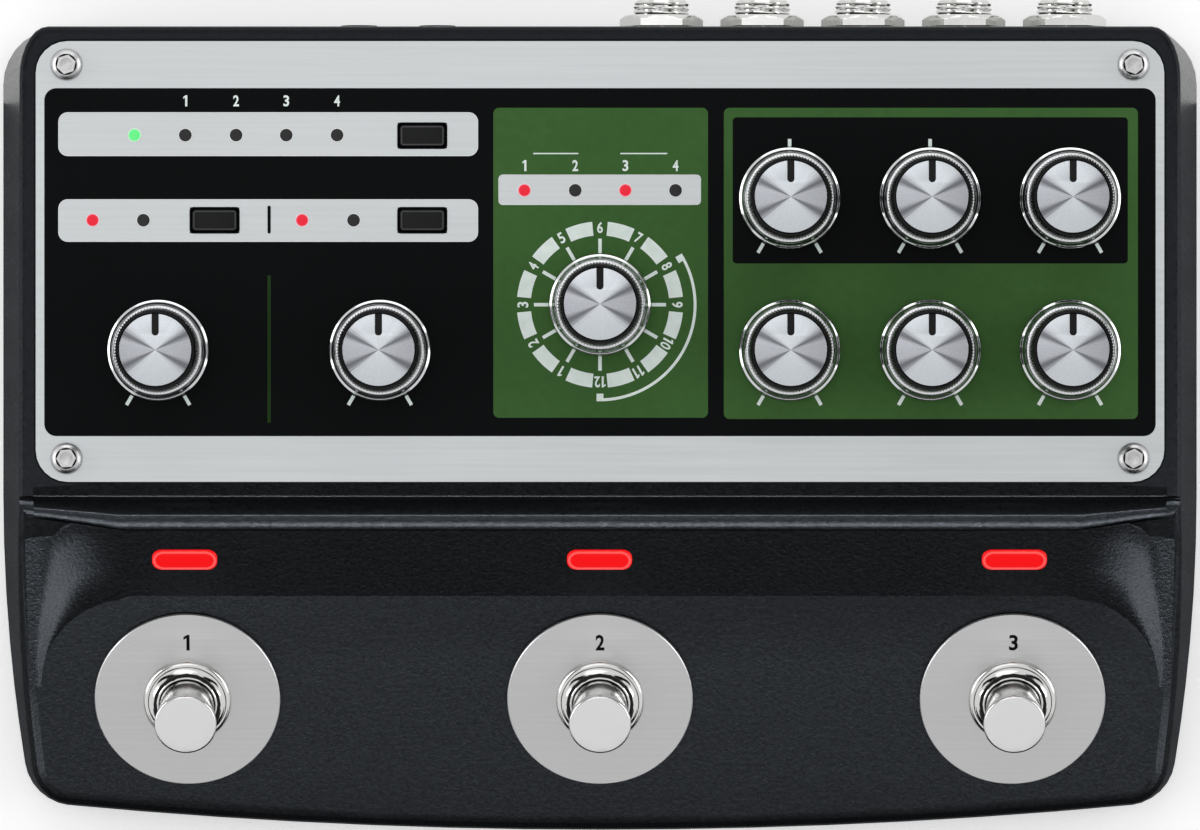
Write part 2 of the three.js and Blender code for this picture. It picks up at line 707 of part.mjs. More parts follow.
// Knob: shaft, flared skirt and serrated barrel, with a recess for the spun disc
function knob() {
  const recess = knobHeight - discThickness - seatGap;
  const shaft = rod(shaftRadius, -shaftLength, skirtHeight / 2, 8);
  const skirt = turned([
    [0, 0], [knobRadius - skirtEdge / 2, 0], [knobRadius, skirtEdge], [knobLipRadius, skirtHeight],
    [0, skirtHeight],
  ], 20);
  const star = new THREE.Shape();
  for (let i = 0; i < 2 * serrations; i += 1) {
    const radius = i % 2 ? barrelRadius : barrelRadius - serrationDepth;
    const angle = 180 * DEG * i / serrations;
    const [x, y] = [radius * Math.cos(angle), radius * Math.sin(angle)];
    if (i === 0) star.moveTo(x, y);
    else star.lineTo(x, y);
  }
  const barrel = extruded(star, skirtHeight / 2, knobHeight, 1);
  const well = rod(discRadius + seatGap, recess, knobHeight + overrun, 16);
  return toGeometry(cut(join(shaft, skirt, barrel), [well]));
}

// Spun disc let into the top of a knob, with a pointer slot that is open at the edge
function knobDisc() {
  const shape = new THREE.Shape();
  const half = slotWidth / 2;
  const edge = Math.asin(half / discRadius);
  const inner = discRadius - slotLength + half;
  shape.absarc(0, 0, discRadius, 90 * DEG + edge, 450 * DEG - edge);
  shape.absarc(0, inner, half, 0, -180 * DEG, true);
  return extruded(shape, 0, discThickness, 6);
}

// Button-head screw with a hexagon socket
function panelScrew() {
  const profile = [[0, -screwLength], [screwRadius, -screwLength], [screwRadius, 0], [screwHeadRadius, 0]];
  const steps = 3;
  for (let i = 1; i <= steps; i += 1) {
    const angle = screwShoulderAngle * i / steps;
    const height = screwHeadHeight * Math.sin(angle) / Math.sin(screwShoulderAngle);
    profile.push([screwHeadRadius * Math.cos(angle), height]);
  }
  profile.push([0, screwHeadHeight]);
  const socket = rod(socketRadius, screwHeadHeight - socketDepth, screwHeadHeight + overrun, 6);
  return toGeometry(cut(toSolid(turned(profile, 12)), [socket]));
}

// Push button, which stands on its tact switch with room to travel
function pushButton() {
  const height = plateTop + buttonProud - (panelBoardTop + switchHeight + buttonTravel + seatGap);
  const shape = roundedRectangle(buttonWidth, buttonDepth, buttonCorner);
  return extruded(shape, -height, 0, 3);
}

// Footswitch pieces, each along its own axis from the foot plane upwards
function footswitchBody() {
  const under = -wall - seatGap;
  const body = block(footBodySize, footBodySize, under - footBodyDepth, under);
  const mouth = seatGap + footPlateThickness + seatGap + footNutHeight + footBushProud;
  const bush = rod(footBushRadius, under - overrun, mouth, 20);
  const floor = under - footBodyDepth + wall / 2;
  const bore = rod(footBoreRadius, floor, mouth + overrun, 20);
  return toGeometry(cut(join(body, bush), [bore]));
}

function footPlate() {
  const shape = new THREE.Shape(circle(footPlateRadius, 40));
  shape.holes.push(new THREE.Path(circle(footBushRadius + seatGap, 20)));
  return extruded(shape, 0, footPlateThickness, 1);
}

function footNut() {
  const inner = footBushRadius + seatGap;
  const outer = inner + footNutWall;
  return turned([
    [inner, 0], [outer, 0], [outer, footNutHeight - footNutEdge], [outer - footNutEdge, footNutHeight],
    [inner, footNutHeight], [inner, 0],
  ], 20);
}

// Plunger, with a stem that opens out to its cap
function plunger() {
  const bottom = -plungerReach - wall - footBodyDepth / 2;
  return turned([
    [0, bottom], [plungerStemRadius, bottom], [plungerStemRadius, -plungerFlare],
    [plungerRadius, -plungerEdge], [plungerRadius - plungerEdge, 0], [0, 0],
  ], 20);
}

// Indicator lens with the flange that holds it inside the slope
function lens() {
  const round = lensDepth / 2 - seatGap;
  const under = -wall - seatGap;
  const face = roundedBlock(lensWidth, lensDepth, round, under - overrun / 2, lensProud);
  const flange = roundedBlock(
    lensWidth + 2 * lensFlange, lensDepth + 2 * lensFlange, round, under - lensFlangeThickness, under);
  return toGeometry(join(face, flange));
}

// Jack: moulded body and a sleeve through the rear wall, with a bore for the plug
function jack() {
  const inside = rearInnerY - seatGap;
  const tip = unitDepth / 2;
  const half = jackBodyHeight / 2;
  const body = new THREE.BoxGeometry(jackBodyWidth, jackBodyHeight, jackBodyDepth)
    .translate(0, 0, inside - jackBodyDepth / 2);
  const sleeve = rod(sleeveRadius, inside - overrun, tip, 20);
  const bore = rod(jackBoreRadius, inside - jackBodyDepth + half / 2, tip + overrun, 16);
  return toGeometry(cut(join(body, sleeve), [bore])).rotateX(-90 * DEG);
}

function jackNut() {
  const shape = new THREE.Shape(circle((sleeveRadius + nutMargin) / Math.cos(30 * DEG), 6));
  shape.holes.push(new THREE.Path(circle(sleeveRadius + seatGap, 16)));
  const inner = rearY + seatGap;
  return extruded(shape, inner, inner + nutThickness, 1).rotateX(-90 * DEG);
}

// Power socket: a barrel in the rear wall with a centre pin
function powerSocket() {
  const inside = rearInnerY - seatGap;
  const face = rearY - endDraft / 2;
  const body = new THREE.BoxGeometry(powerBodyWidth, powerBodyWidth, powerBodyWidth)
    .translate(0, 0, inside - powerBodyWidth / 2);
  const barrel = rod(powerRadius, inside - overrun, face, 16);
  const bore = rod(powerBoreRadius, inside - powerBodyWidth / 2, face + overrun, 14);
  const pin = rod(powerPinRadius, inside - powerBodyWidth / 2 - overrun, face - powerPinRadius, 8);
  return toGeometry(cut(join(body, barrel), [bore]).add(toSolid(pin))).rotateX(-90 * DEG);
}

// Finishes
function finish(color, roughness, metalness) {
  return new THREE.MeshStandardMaterial({ color, roughness, metalness, flatShading: true });
}

const castBlack = () => finish(0x2a2c2f, 0.62, 0.2);
const brushedSilver = () => finish(0xc4c8ca, 0.38, 0.85);
const blackPlastic = () => finish(0x17181a, 0.5, 0);
const spunAluminium = () => finish(0xdadcde, 0.25, 0.95);
const brightNickel = () => finish(0xc8c9c6, 0.2, 0.95);
const darkSteel = () => finish(0x6d7073, 0.35, 0.9);
const redLens = () => finish(0xe02024, 0.3, 0);
const board = () => finish(0x1d4a33, 0.6, 0);
const sheetSteel = () => finish(0x3b3e42, 0.5, 0.6);
const rubber = () => finish(0x1c1c1c, 0.9, 0);

// The unit
const unit = new THREE.Group();

function place(name, geometry, material, x = 0, y = 0, z = 0, parent = unit) {
  const mesh = new THREE.Mesh(geometry, material);
  mesh.name = name;
  mesh.position.set(x, y, z);
  parent.add(mesh);
  return mesh;
}

place('housing', housing(), castBlack());
place('face_plate', facePlate(), brushedSilver(), 0, plateCentreY, plateBottom);
place('bottom_cover', bottomCover(), sheetSteel());
place('panel_board', panelBoard(), board());
place('main_board', mainBoard(), board());

const footX = halfWidth - footInset;
const footPlaces = { rear_left: [-1, 1], rear_right: [1, 1], front_left: [-1, -1], front_right: [1, -1] };
for (const [name, [side, end]] of Object.entries(footPlaces)) {
  const shape = rod(footRadius, 0, footHeight, 16);
  place(`foot_${name}`, shape, rubber(), side * footX, end * (unitDepth / 2 - footInset));
}

screwPlaces.forEach(([x, y], i) => {
  place(`panel_screw_${i + 1}`, panelScrew(), brightNickel(), x, y, plateTop + seatGap);
});

for (const [name, [x, y]] of knobPlaces) {
  place(`${name}_knob`, knob(), blackPlastic(), x, y, knobBottom);
  place(`${name}_knob_disc`, knobDisc(), spunAluminium(), x, y, knobBottom + knobHeight - discThickness);
}

for (const [name, [x, y]] of buttonPlaces) {
  place(`${name}_button`, pushButton(), blackPlastic(), x, y, plateTop + buttonProud);
}

jackPlaces.forEach((x, i) => {
  place(`jack_${i + 1}`, jack(), blackPlastic(), x, 0, jackHeight);
  place(`jack_nut_${i + 1}`, jackNut(), brightNickel(), x, 0, jackHeight);
});
place('power_socket', powerSocket(), blackPlastic(), powerShare * halfWidth, 0, jackHeight);

for (const [name, share] of Object.entries(footswitchShares)) {
  const station = new THREE.Group();
  station.applyMatrix4(footswitchFrame(share));
  unit.add(station);
  const plateLevel = seatGap;
  const nutLevel = plateLevel + footPlateThickness + seatGap;
  place(`${name}_footswitch_body`, footswitchBody(), darkSteel(), 0, 0, 0, station);
  place(`${name}_foot_plate`, footPlate(), brushedSilver(), 0, 0, plateLevel, station);
  place(`${name}_foot_nut`, footNut(), brightNickel(), 0, 0, nutLevel, station);
  place(`${name}_plunger`, plunger(), brightNickel(), 0, 0, plungerReach + footPlateThickness, station);
  const slope = new THREE.Group();
  slope.applyMatrix4(lensFrame(share));
  unit.add(slope);
  place(`${name}_lens`, lens(), redLens(), 0, 0, 0, slope);
}

export default unit;
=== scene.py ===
import json
import math

import bmesh
import bpy
from mathutils import Matrix, Vector

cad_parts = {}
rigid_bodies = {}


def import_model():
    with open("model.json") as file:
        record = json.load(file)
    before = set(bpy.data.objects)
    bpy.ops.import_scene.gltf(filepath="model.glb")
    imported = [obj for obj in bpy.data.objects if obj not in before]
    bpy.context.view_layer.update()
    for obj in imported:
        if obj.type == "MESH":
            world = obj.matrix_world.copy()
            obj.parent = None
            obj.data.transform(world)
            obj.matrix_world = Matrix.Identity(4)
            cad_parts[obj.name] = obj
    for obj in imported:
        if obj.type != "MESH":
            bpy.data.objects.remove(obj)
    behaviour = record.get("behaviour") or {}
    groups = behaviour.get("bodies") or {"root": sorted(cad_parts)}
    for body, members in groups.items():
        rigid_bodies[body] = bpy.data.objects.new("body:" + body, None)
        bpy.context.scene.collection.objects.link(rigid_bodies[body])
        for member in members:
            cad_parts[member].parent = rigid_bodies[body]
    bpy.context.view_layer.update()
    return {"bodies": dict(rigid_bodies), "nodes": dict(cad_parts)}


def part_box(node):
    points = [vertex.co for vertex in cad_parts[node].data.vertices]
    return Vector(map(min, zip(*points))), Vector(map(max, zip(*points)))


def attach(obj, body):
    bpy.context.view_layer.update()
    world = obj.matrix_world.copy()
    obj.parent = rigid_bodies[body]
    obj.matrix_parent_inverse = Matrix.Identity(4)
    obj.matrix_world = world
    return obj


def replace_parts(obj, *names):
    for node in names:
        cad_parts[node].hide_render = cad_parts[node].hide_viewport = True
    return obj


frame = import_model()

MM = 0.001
DEG = math.pi / 180

# Camera
CAMERA_HEIGHT = 1840 * MM
CAMERA_NORTH = 0.33 * MM
CAMERA_LENS = 343
CAMERA_SENSOR = 36
CAMERA_REACH = 20

# Room. Each lamp has a name, a place in metres, a width, a depth and a power
ROOM_LIGHT = 0.55
SEEN_RAYS = ("Is Camera Ray", "Is Glossy Ray", "Is Transmission Ray")
ROOM_LAMPS = (
    ("overhead", (-0.2, 0.35, 1.3), 0.9, 0.7, 1.3),
    ("left_side", (-0.95, 0.1, 0.34), 0.9, 0.25, 3),
    ("right_side", (0.95, 0.1, 0.34), 0.9, 0.25, 3),
    ("rear", (0, 1.0, 0.4), 1.2, 0.3, 2),
)
CASTING_LAMPS = (
    ("ridge_strip", (0, -0.53, 1.0), 1.6, 0.06, 32),
    ("left_cheek", (0.8, -0.35, 0.42), 1.0, 0.5, 19),
    ("right_cheek", (-0.8, -0.35, 0.42), 1.0, 0.5, 19),
)

# Cards that only shine back. Each has a name, a place, a width, a depth, a shade, and lies flat or not
CARD_BLACK = (0.004, 0.004, 0.004)
CARD_GREY = (0.2, 0.21, 0.225)
CARD_ROUGHNESS = 0.9
CARDS = (
    ("front_card", (0, -0.6, 0.16), 0.8, 0.34, CARD_BLACK, False),
    ("front_floor_card", (0, -0.33, 0.0004), 0.6, 0.52, CARD_BLACK, True),
    ("side_floor_card", (0, -0.012, 0.0006), 0.5, 0.125, CARD_GREY, True),
    ("left_card", (-0.72, 0.1, 0.85), 0.9, 0.3, CARD_BLACK, False),
    ("right_card", (0.72, 0.1, 0.85), 0.9, 0.3, CARD_BLACK, False),
)

# Floor paper
FLOOR_HALF = 1.6
FLOOR_LIFT = 0.35
PAPER_MOTTLE = (30, 2)
PAPER_SHADES = ((0.86, 0.86, 0.86), (0.9, 0.9, 0.9))
PAPER_ROUGHNESS = 0.8

# Finishes. A noise has a scale per metre, a detail and perhaps a roughness. A relief has a strength and a
# depth. Tones are shares of a colour, and wear is shares of a roughness. Noise mostly stays between its ends,
# and the ends of patches are closer
NOISE_ENDS = (0.3, 0.7)
PATCH_ENDS = (0.35, 0.65)

# Coat of the casting: on the whole, on the cheeks and on the ledge
COAT_NAMES = ("cast_coat", "cheek_coat", "ledge_coat")
COAT_SHINE = (0.12, 0.13, 0.15)
COAT_RELIEF = (0.5, 1.2, 0.6)
COAT_BLACK = (0.0040, 0.0044, 0.0052)
COAT_SHINE_TINT = (0.8, 0.89, 1.0, 1)
COAT_GRAIN = (1500, 4, 0.65)
COAT_PORES = 2300
COAT_PORE_SHARE = 0.15
COAT_PATCHES = (90, 3)
COAT_TONES = (0.88, 1.12)
COAT_ROUGHNESS = (0.24, 0.36)
COAT_DEPTH = 0.09 * MM

# Brushed sheet
BRUSH_STRETCH = (18, 900, 900)
BRUSH_STREAKS = (1.6, 2, 0.6)
BRUSH_CLOUDS = (28, 2)
BRUSH_STREAK_SHARE = 0.8
BRUSH_TONES = (0.93, 1.04)
BRUSH_WEAR = (0.85, 1.2)
BRUSH_RELIEF = (0.12, 0.01 * MM)

# Moulded plastic
MOULD_SHINE = 0.15
MOULD_GRAIN = (3000, 2)
MOULD_PATCHES = (160, 3)
MOULD_TONES = (0.85, 1.15)
MOULD_WEAR = (0.88, 1.15)
MOULD_RELIEF = (0.2, 0.02 * MM)

# Plating
PLATE_WEAR = (420, 3)
PLATE_TONES = (0.94, 1)
PLATE_SPREAD = (0.7, 1.4)
PLATE_GRAIN = (2500, 2)
PLATE_RELIEF = (0.05, 0.01 * MM)

# Printing ink
INK_SHINE = 0.03
INK_ROUGHNESS = 0.42
INK_MOTTLE = (700, 3)
INK_CLOUDS = (60, 2)
INK_MOTTLE_SHARE = 0.5
INK_TONES = (0.92, 1.08)
INK_WEAR = (0.9, 1.12)
INK_GRAIN = (4200, 2)
INK_RELIEF = (0.1, 0.006 * MM)

# Spun discs: painted reflection in broad bright fans and dark wedges, streaked by rays, and fine rings
# painted a little darker as shade in the grooves
SPUN_PAINTED_FAN_GLINT = (0.52, 0.55, 0.58)
SPUN_PAINTED_DIM_SIDE = (0.38, 0.39, 0.42)
SPUN_PAINTED_WEDGE_SHADE = (0.10, 0.105, 0.115)
SPUN_RAYS = (22, 3)
SPUN_RAY_SHARE = 0.2
SPUN_PAINTED_FAN_EDGE = (0.6, 0.85)
SPUN_PAINTED_WEDGE_PLACE = 0.56
SPUN_PAINTED_WEDGE_EDGE = (0.03, 0.18)
SPUN_PAINTED_WEDGE_SHARE = 0.8
SPUN_PAINTED_GROOVE_SHADE = 0.12
SPUN_ROUGHNESS = (0.22, 0.34)
SPUN_RELIEF = (0.25, 0.012 * MM)
SPUN_HUB = 0.01 * MM
RING_PITCH = 0.16 * MM

# Lamps and lenses
LAMP_GLOW = 0.8
LAMP_SHINE = 0.15
LAMP_ROUGHNESS = 0.25
LAMP_HAZE = (900, 2)
LAMP_HAZE_SHARE = 0.06
LAMP_LINE_EDGE = (0.03, 0.16)
LAMP_LINE_SHARE = 0.75
LAMP_BODY_SHARES = (0.2, 0.3)
LAMP_LINE_PLACE = 1
LENS_LINE_PLACE = 0.85
LAMP_RADIUS = 1.0 * MM
LAMP_EDGE = 0.12 * MM
LAMP_DEPTH = 0.6 * MM
LAMP_SIDES = 32
LAMP_RIM_SIDES = 24
LENS_HALF = (5.15 * MM, 1.9 * MM)
LENS_DEPTH = 2.6 * MM
LENS_EDGE = 0.22 * MM
LENS_CORNER_SHARE = 0.82
LENS_FACE_LAYER = 0.01 * MM
LENS_FACE_RISE = 0.3

# Circuit board and sockets
BOARD_GREEN = (0.012, 0.075, 0.035)
BOARD_ROUGHNESS = 0.4
SOCKET_BLACK = (0.012, 0.012, 0.013)
SOCKET_REACH = 4 * MM
SOCKET_EDGE = 0.03 * MM

# Casting, with the sizes of the CAD part's foot pocket and ledge
PLATFORM_HEIGHT = 39 * MM
PLATFORM_FRONT = -12.4 * MM
PLATFORM_SIDE = 91.6 * MM
RIM_END = -43.0 * MM
RIM_SIDE = 90.8 * MM
RIM_NORMAL = Vector((0, -0.45, 1)).normalized()
LIP = -63.1 * MM
LIP_HEIGHT = 11.5 * MM
FOOT_TILT = 23 * DEG
POCKET_SIDE = 89.2 * MM
POCKET_REAR = -28.2 * MM
POCKET_CORNER = 14.4 * MM
POCKET_FLARE = 14 * MM
POCKET_OPEN_CORNER = 28 * MM
POCKET_STEPS = 10
SLOPE_TILT = 35.64 * DEG

# Ledge: places across with the share of its depth and width there, then its section with a tilt in degrees
LEDGE_SIZE = 4.8 * MM
LEDGE_ENDS = ((0.83, 1, 1), (0.917, 0.72, 0.76), (0.975, 0.41, 0.62))
LEDGE_SECTION = (
    (-0.44, 0, 36), (-0.04, 0, 36), (0.02, 0.02, 14), (0.05, 0.15, 45), (0.08, 0.4, 80), (0.15, 0.7, 70),
    (0.3, 0.9, 50), (0.5, 0.99, 38), (0.6, 0.993, 34), (0.68, 0.996, 5), (0.82, 1.005, 2), (1, 1.06, 17),
    (1.08, 1.12, 30), (1.18, 1.2, 35.6),
)

# Skins over the casting. Shares count from the pocket's floor up to its rim
SKIN_LIFT = 0.05 * MM
SKIN_LEVELS = 24
SKIN_SINK = 0.04
CLIMB_STEP = 0.01
SKIN_RIM_SHARE = 0.4
CHEEK_LIFT = 0.3 * MM
CHEEK_TILT = 31 * DEG
CHEEK_SWING = 2.2
CHEEK_SHADE = (0.06, 0.34)
CHEEK_FADE = (0.78, 0.3)
CHEEK_DUSK = 0.7
POST_PLACES = (
    (-84.4 * MM, -50.9 * MM), (-33 * MM, -55.8 * MM), (33 * MM, -55.8 * MM), (84.4 * MM, -50.9 * MM))
POST_CAP = ((3.2 * MM, -0.05 * MM), (2.4 * MM, 0.2 * MM), (0.5 * MM, 0.21 * MM))
POST_SIDES = 24

# CAD pieces: bends taken as flat, bends that are broken, bends too sharp to be smooth, and widths of edges
WELD_GAP = 0.002 * MM
FLAT_ANGLE = 0.4 * DEG
BEND_ANGLE = 13 * DEG
CREASE = 22 * DEG
EVEN_WEIGHT = 50
CAST_EDGE = 0.5 * MM
PLATE_EDGE = 0.15 * MM
COVER_EDGE = 0.25 * MM
BODY_EDGE = 0.2 * MM

# Mesh making
MERGE_GAP = 0.0005 * MM
SMOOTH = 35 * DEG
SLAB_SMOOTH = 30 * DEG

# Knobs
KNOB_HEIGHT = 11.8 * MM
KNOB_ROUND = 0.2 * MM
SKIRT_EDGE = 0.8 * MM
SKIRT_HEIGHT = 3.2 * MM
SKIRT_STEPS = 8
SKIRT_SIDES = 120
SKIRT_SMOOTH = 50 * DEG
LIP_RADIUS = 7.05 * MM
BARREL_RADIUS = 6.8 * MM
BARREL_TOP_RADIUS = 6.45 * MM
BARREL_SMOOTH = 40 * DEG
RIDGES = 84
RIDGE_DEPTH = 0.3 * MM
RIDGE_WAVE = (0.0, 0.5, 1.0, 0.5)
RIDGE_START_SHARE = 0.4
RIDGE_END_SHARE = 0.6
CROWN_RADIUS = 6.15 * MM
DISC_RADIUS = 5.65 * MM
DISC_THICKNESS = 0.45 * MM
DISC_EDGE = 0.06 * MM
DISC_STEPS = 96
SLOT_WIDTH = 1.07 * MM
SLOT_LENGTH = 3.4 * MM
SLOT_STEPS = 12
RECESS_FLOOR = (-0.7 * MM, -0.5 * MM)
RECESS_SIDES = 36

# Push buttons and the black wells round them
BUTTONS = ("memory", "input", "tape")
BUTTON_CORNER = 0.55 * MM
BUTTON_EDGE = 0.12 * MM
# Insets of the lighter rim that paints a highlight round each cap's face
BUTTON_PAINTED_RIM = (0.14 * MM, 0.36 * MM)
WELL_GAP = 0.45 * MM
WELL_CORNER = 0.6 * MM
WELL_LINE = 0.22 * MM
WELL_INNER_CORNER = 0.45 * MM

# Printed layers, each a little above the last, and the corners of the fields
PRINT_STEP = 0.03 * MM
PRINT_START = 0.3
# Width of the pale lines that paint a highlight along the bars' edges and round the lamps
PAINTED_HIGHLIGHT_LINE = 0.12 * MM
PRINT_CORNER = 1.9 * MM
LAMP_BAR_CORNER = 1.5 * MM
HEAD_BAR_CORNER = 0.7 * MM
GREEN_CORNER = 0.9 * MM
TONE_BLACK_CORNER = 0.6 * MM
BAR_DIVIDER_CORNER = 0.24 * MM

# Printed fields in millimetres: lowest and highest corner, or middle, width and depth
BLACK_FIELD = ((-87.5, -3.0), (87.5, 51.8))
LAMP_BARS = (((-85.3, 41.1), (-19.2, 48.0)), ((-85.3, 27.6), (-19.2, 34.3)))
HEAD_BAR = ((-16.0, 33.4), (15.9, 38.2))
MODE_FIELD = ((-16.8, -0.1), (17.0, 48.7))
TONE_FIELD = ((19.5, -0.3), (84.7, 48.7))
TONE_BLACK = ((20.9, 24.2), (83.1, 47.2))
GREEN_DIVIDER = (-52.1, 10.7, 0.53, 23.2)
BAR_DIVIDER = (-52.1, 31.1, 0.5, 4.4)
HEAD_LINES = ((-6.95, 41.5, 7.1, 0.2), (6.9, 41.5, 7.4, 0.2))

# Rows of lamps in millimetres: distance north, then places across. Some lamps are lit
LAMP_ROWS = (
    (44.4, (-73.3, -65.3, -57.3, -49.4, -41.4)),
    (31.0, (-79.9, -71.9, -46.9, -38.8)),
    (35.7, (-11.9, -3.9, 4.0, 11.9)),
)
LIT_GREEN = ((44.4, -73.3),)
LIT_RED = ((31.0, -79.9), (31.0, -46.9), (35.7, -11.9), (35.7, 4.0))

# Numbers over lamps: row, first lamp that has one, and distance north of the row in millimetres
LAMP_NUMBERS = ((0, 1, 5.4), (2, 0, 3.9))

# Dial of the mode knob, with inner and outer radii. Angles are in degrees
DIAL_STEPS = 12
DIAL_PITCH = 30
DIAL_TOP = 6
DIAL_BAND = (10.9 * MM, 13.1 * MM)
DIAL_BLOCK = 19.2
DIAL_TICK = (8.1 * MM, 10.4 * MM)
DIAL_NUMBERS = 12.15 * MM
DIAL_BRACKET = (14.75 * MM, 15.2 * MM)
BRACKET_ENDS = (-90, 30)
BRACKET_STEPS = 40
BRACKET_CAP_REACH = 0.75 * MM
BRACKET_CAP_WIDTH = 1.1 * MM

# Ticks of the other knobs
KNOB_TICK = (8.25 * MM, 9.95 * MM)
KNOB_TICK_ANGLES = (-60, -120)
TOP_TICK = (8.1 * MM, 9.3 * MM)
TOP_TICK_ANGLE = 90
TOP_TICK_KNOBS = ("bass_knob", "treble_knob")
TICK_WIDTH = 0.55 * MM

# Figures, as shares of their height
FIGURE_ONE = ((0.17, 0), (0.36, 0), (0.36, 1), (0.22, 1), (0, 0.85), (0, 0.69), (0.17, 0.79))
FIGURE_WIDTH = 0.52
FIGURE_WEIGHT = 0.025
FIGURE_GAP = 0.14
NUMBER_HEIGHT = 1.75 * MM
FOOT_NUMBER_HEIGHT = 2.7 * MM
FOOT_NUMBER_PLACE = 10.0 * MM

# Screws: height, socket radius, socket depth and sides. The cover's screws start with their own radius
PANEL_SCREW = (1.4 * MM, 1.45 * MM, 0.9 * MM, 48)
PANEL_SCREW_TURNS = (0.3, 0.7, 1.1, 1.5)
COVER_SCREW = (2.3 * MM, 0.9 * MM, 0.95 * MM, 0.6 * MM, 36)
FRONT_SCREW_SHARES = ((-0.875, 0.73), (-0.343, 0.8), (0.343, 0.8), (0.875, 0.73))
SCREW_ROUND = 0.1 * MM
SCREW_DOME = 66 * DEG
SCREW_STEPS = 6
SOCKET_RIM = 0.22 * MM
SOCKET_BEVEL = 0.12 * MM
SOCKET_POINT_SHARE = 0.3
SOCKET_POINT = 0.15 * MM
FLAT_SHARE = math.cos(math.pi / 6)

# Footswitches
SIDES = ("left", "middle", "right")
FOOT_PLATE_HALF = 0.4 * MM
FOOT_PLATE_EDGE = 0.12 * MM
FOOT_PLATE_GAP = 0.2 * MM
FOOT_PLATE_SIDES = 128
BUSH_RADIUS = 5.35 * MM
NUT_PROFILE = (
    (4.5, 0.0), (7.0, 0.0), (7.0, 0.5), (6.96, 0.75), (6.82, 0.97), (6.6, 1.12), (6.35, 1.18), (6.2, 1.16),
    (6.1, 1.1), (5.9, 1.14), (5.5, 1.42), (5.1, 1.74), (4.75, 2.06), (4.6, 2.1), (4.5, 2.02),
)
TURNED_SIDES = 96
TURNED_SMOOTH = 25 * DEG
STEM_RADIUS = 4.35 * MM
STEM_LENGTH = 15 * MM
FLARE_LENGTH = 7 * MM
FLARE_STEPS = 5
FLARE_CURVE = 1.4
PLUNGER_RADIUS = 4.95 * MM
PLUNGER_EDGE = 0.35 * MM

# Jacks
JACKS = 5
SLEEVE_RADIUS = 4.5 * MM
SLEEVE_SIDES = 64
SLEEVE_START = 3 * MM
MOUTH_LENGTH = 0.5 * MM
MOUTH_STEP = 0.4 * MM
MOUTH_CHAMFER = 0.6 * MM
MOUTH_WIDENING = 0.35 * MM
JACK_BORE_RADIUS = 3.25 * MM
JACK_BORE_DEPTH = 12 * MM
THREAD_PITCH = 0.75 * MM
THREAD_DEPTH = 0.32 * MM
THREAD_STEPS = 6
JACK_BODY_START = 3.2 * MM
JACK_BODY_CORNER = 0.6 * MM
JACK_BODY_EDGE = 0.2 * MM
JACK_BODY_OVERLAP = 0.4 * MM
JACK_OPENING_SIDES = 48
SWAP_Y_AND_Z = Matrix(((1, 0, 0, 0), (0, 0, 1, 0), (0, 1, 0, 0), (0, 0, 0, 1)))
NUT_SIDES = 72
NUT_SEAT = 0.5 * MM
NUT_HEIGHT = 1.25 * MM
NUT_CROWN = 0.75 * MM
NUT_STEPS = 4
NUT_FACE = 0.97

# Rubber feet
FEET = ("rear_left", "rear_right", "front_left", "front_right")
FOOT_ROUND = 0.3 * MM
FOOT_SIDES = 64


# Shader maths

class Value:
    """A value that changes over a surface, with Python's operators for its Math nodes."""

    def __init__(self, nodes, socket):
        self.nodes = nodes
        self.socket = socket

    def __add__(self, other):
        return self.nodes.maths("ADD", self, other)

    def __sub__(self, other):
        return self.nodes.maths("SUBTRACT", self, other)

    def __mul__(self, other):
        return self.nodes.maths("MULTIPLY", self, other)

    def __truediv__(self, other):
        return self.nodes.maths("DIVIDE", self, other)

    def __radd__(self, other):
        return self.nodes.maths("ADD", other, self)

    def __rsub__(self, other):
        return self.nodes.maths("SUBTRACT", other, self)

    def __rmul__(self, other):
        return self.nodes.maths("MULTIPLY", other, self)

    def __rtruediv__(self, other):
        return self.nodes.maths("DIVIDE", other, self)


class Nodes:
    """A node tree, of a material or of the room."""

    def __init__(self, tree):
        self.tree = tree

    def node(self, kind, settings=None, values=None):
        """One node: its settings first, then the values or links of its sockets."""
        node = self.tree.nodes.new(kind)
        for key, value in (settings or {}).items():
            setattr(node, key, value)
        for key, value in (values or {}).items():
            self.feed(node.inputs[key], value)
        return node

    def feed(self, socket, value):
        source = value.socket if isinstance(value, Value) else value
        if isinstance(source, bpy.types.NodeSocket):
            self.tree.links.new(source, socket)
        else:
            socket.default_value = source

    def maths(self, operation, first, second=None):
        values = {0: first} if second is None else {0: first, 1: second}
        node = self.node("ShaderNodeMath", {"operation": operation}, values)
        return Value(self, node.outputs[0])

    def fit(self, value, low, high, to_low=0, to_high=1):
        values = {0: value, 1: low, 2: high, 3: to_low, 4: to_high}
        return Value(self, self.node("ShaderNodeMapRange", None, values).outputs[0])

    def seen(self):
        """One for rays from the camera, a mirror or a clear piece, and zero for the rest."""
        path = self.node("ShaderNodeLightPath")
        camera, glossy, clear = [Value(self, path.outputs[ray]) for ray in SEEN_RAYS]
        return self.maths("MINIMUM", camera + glossy + clear, 1)


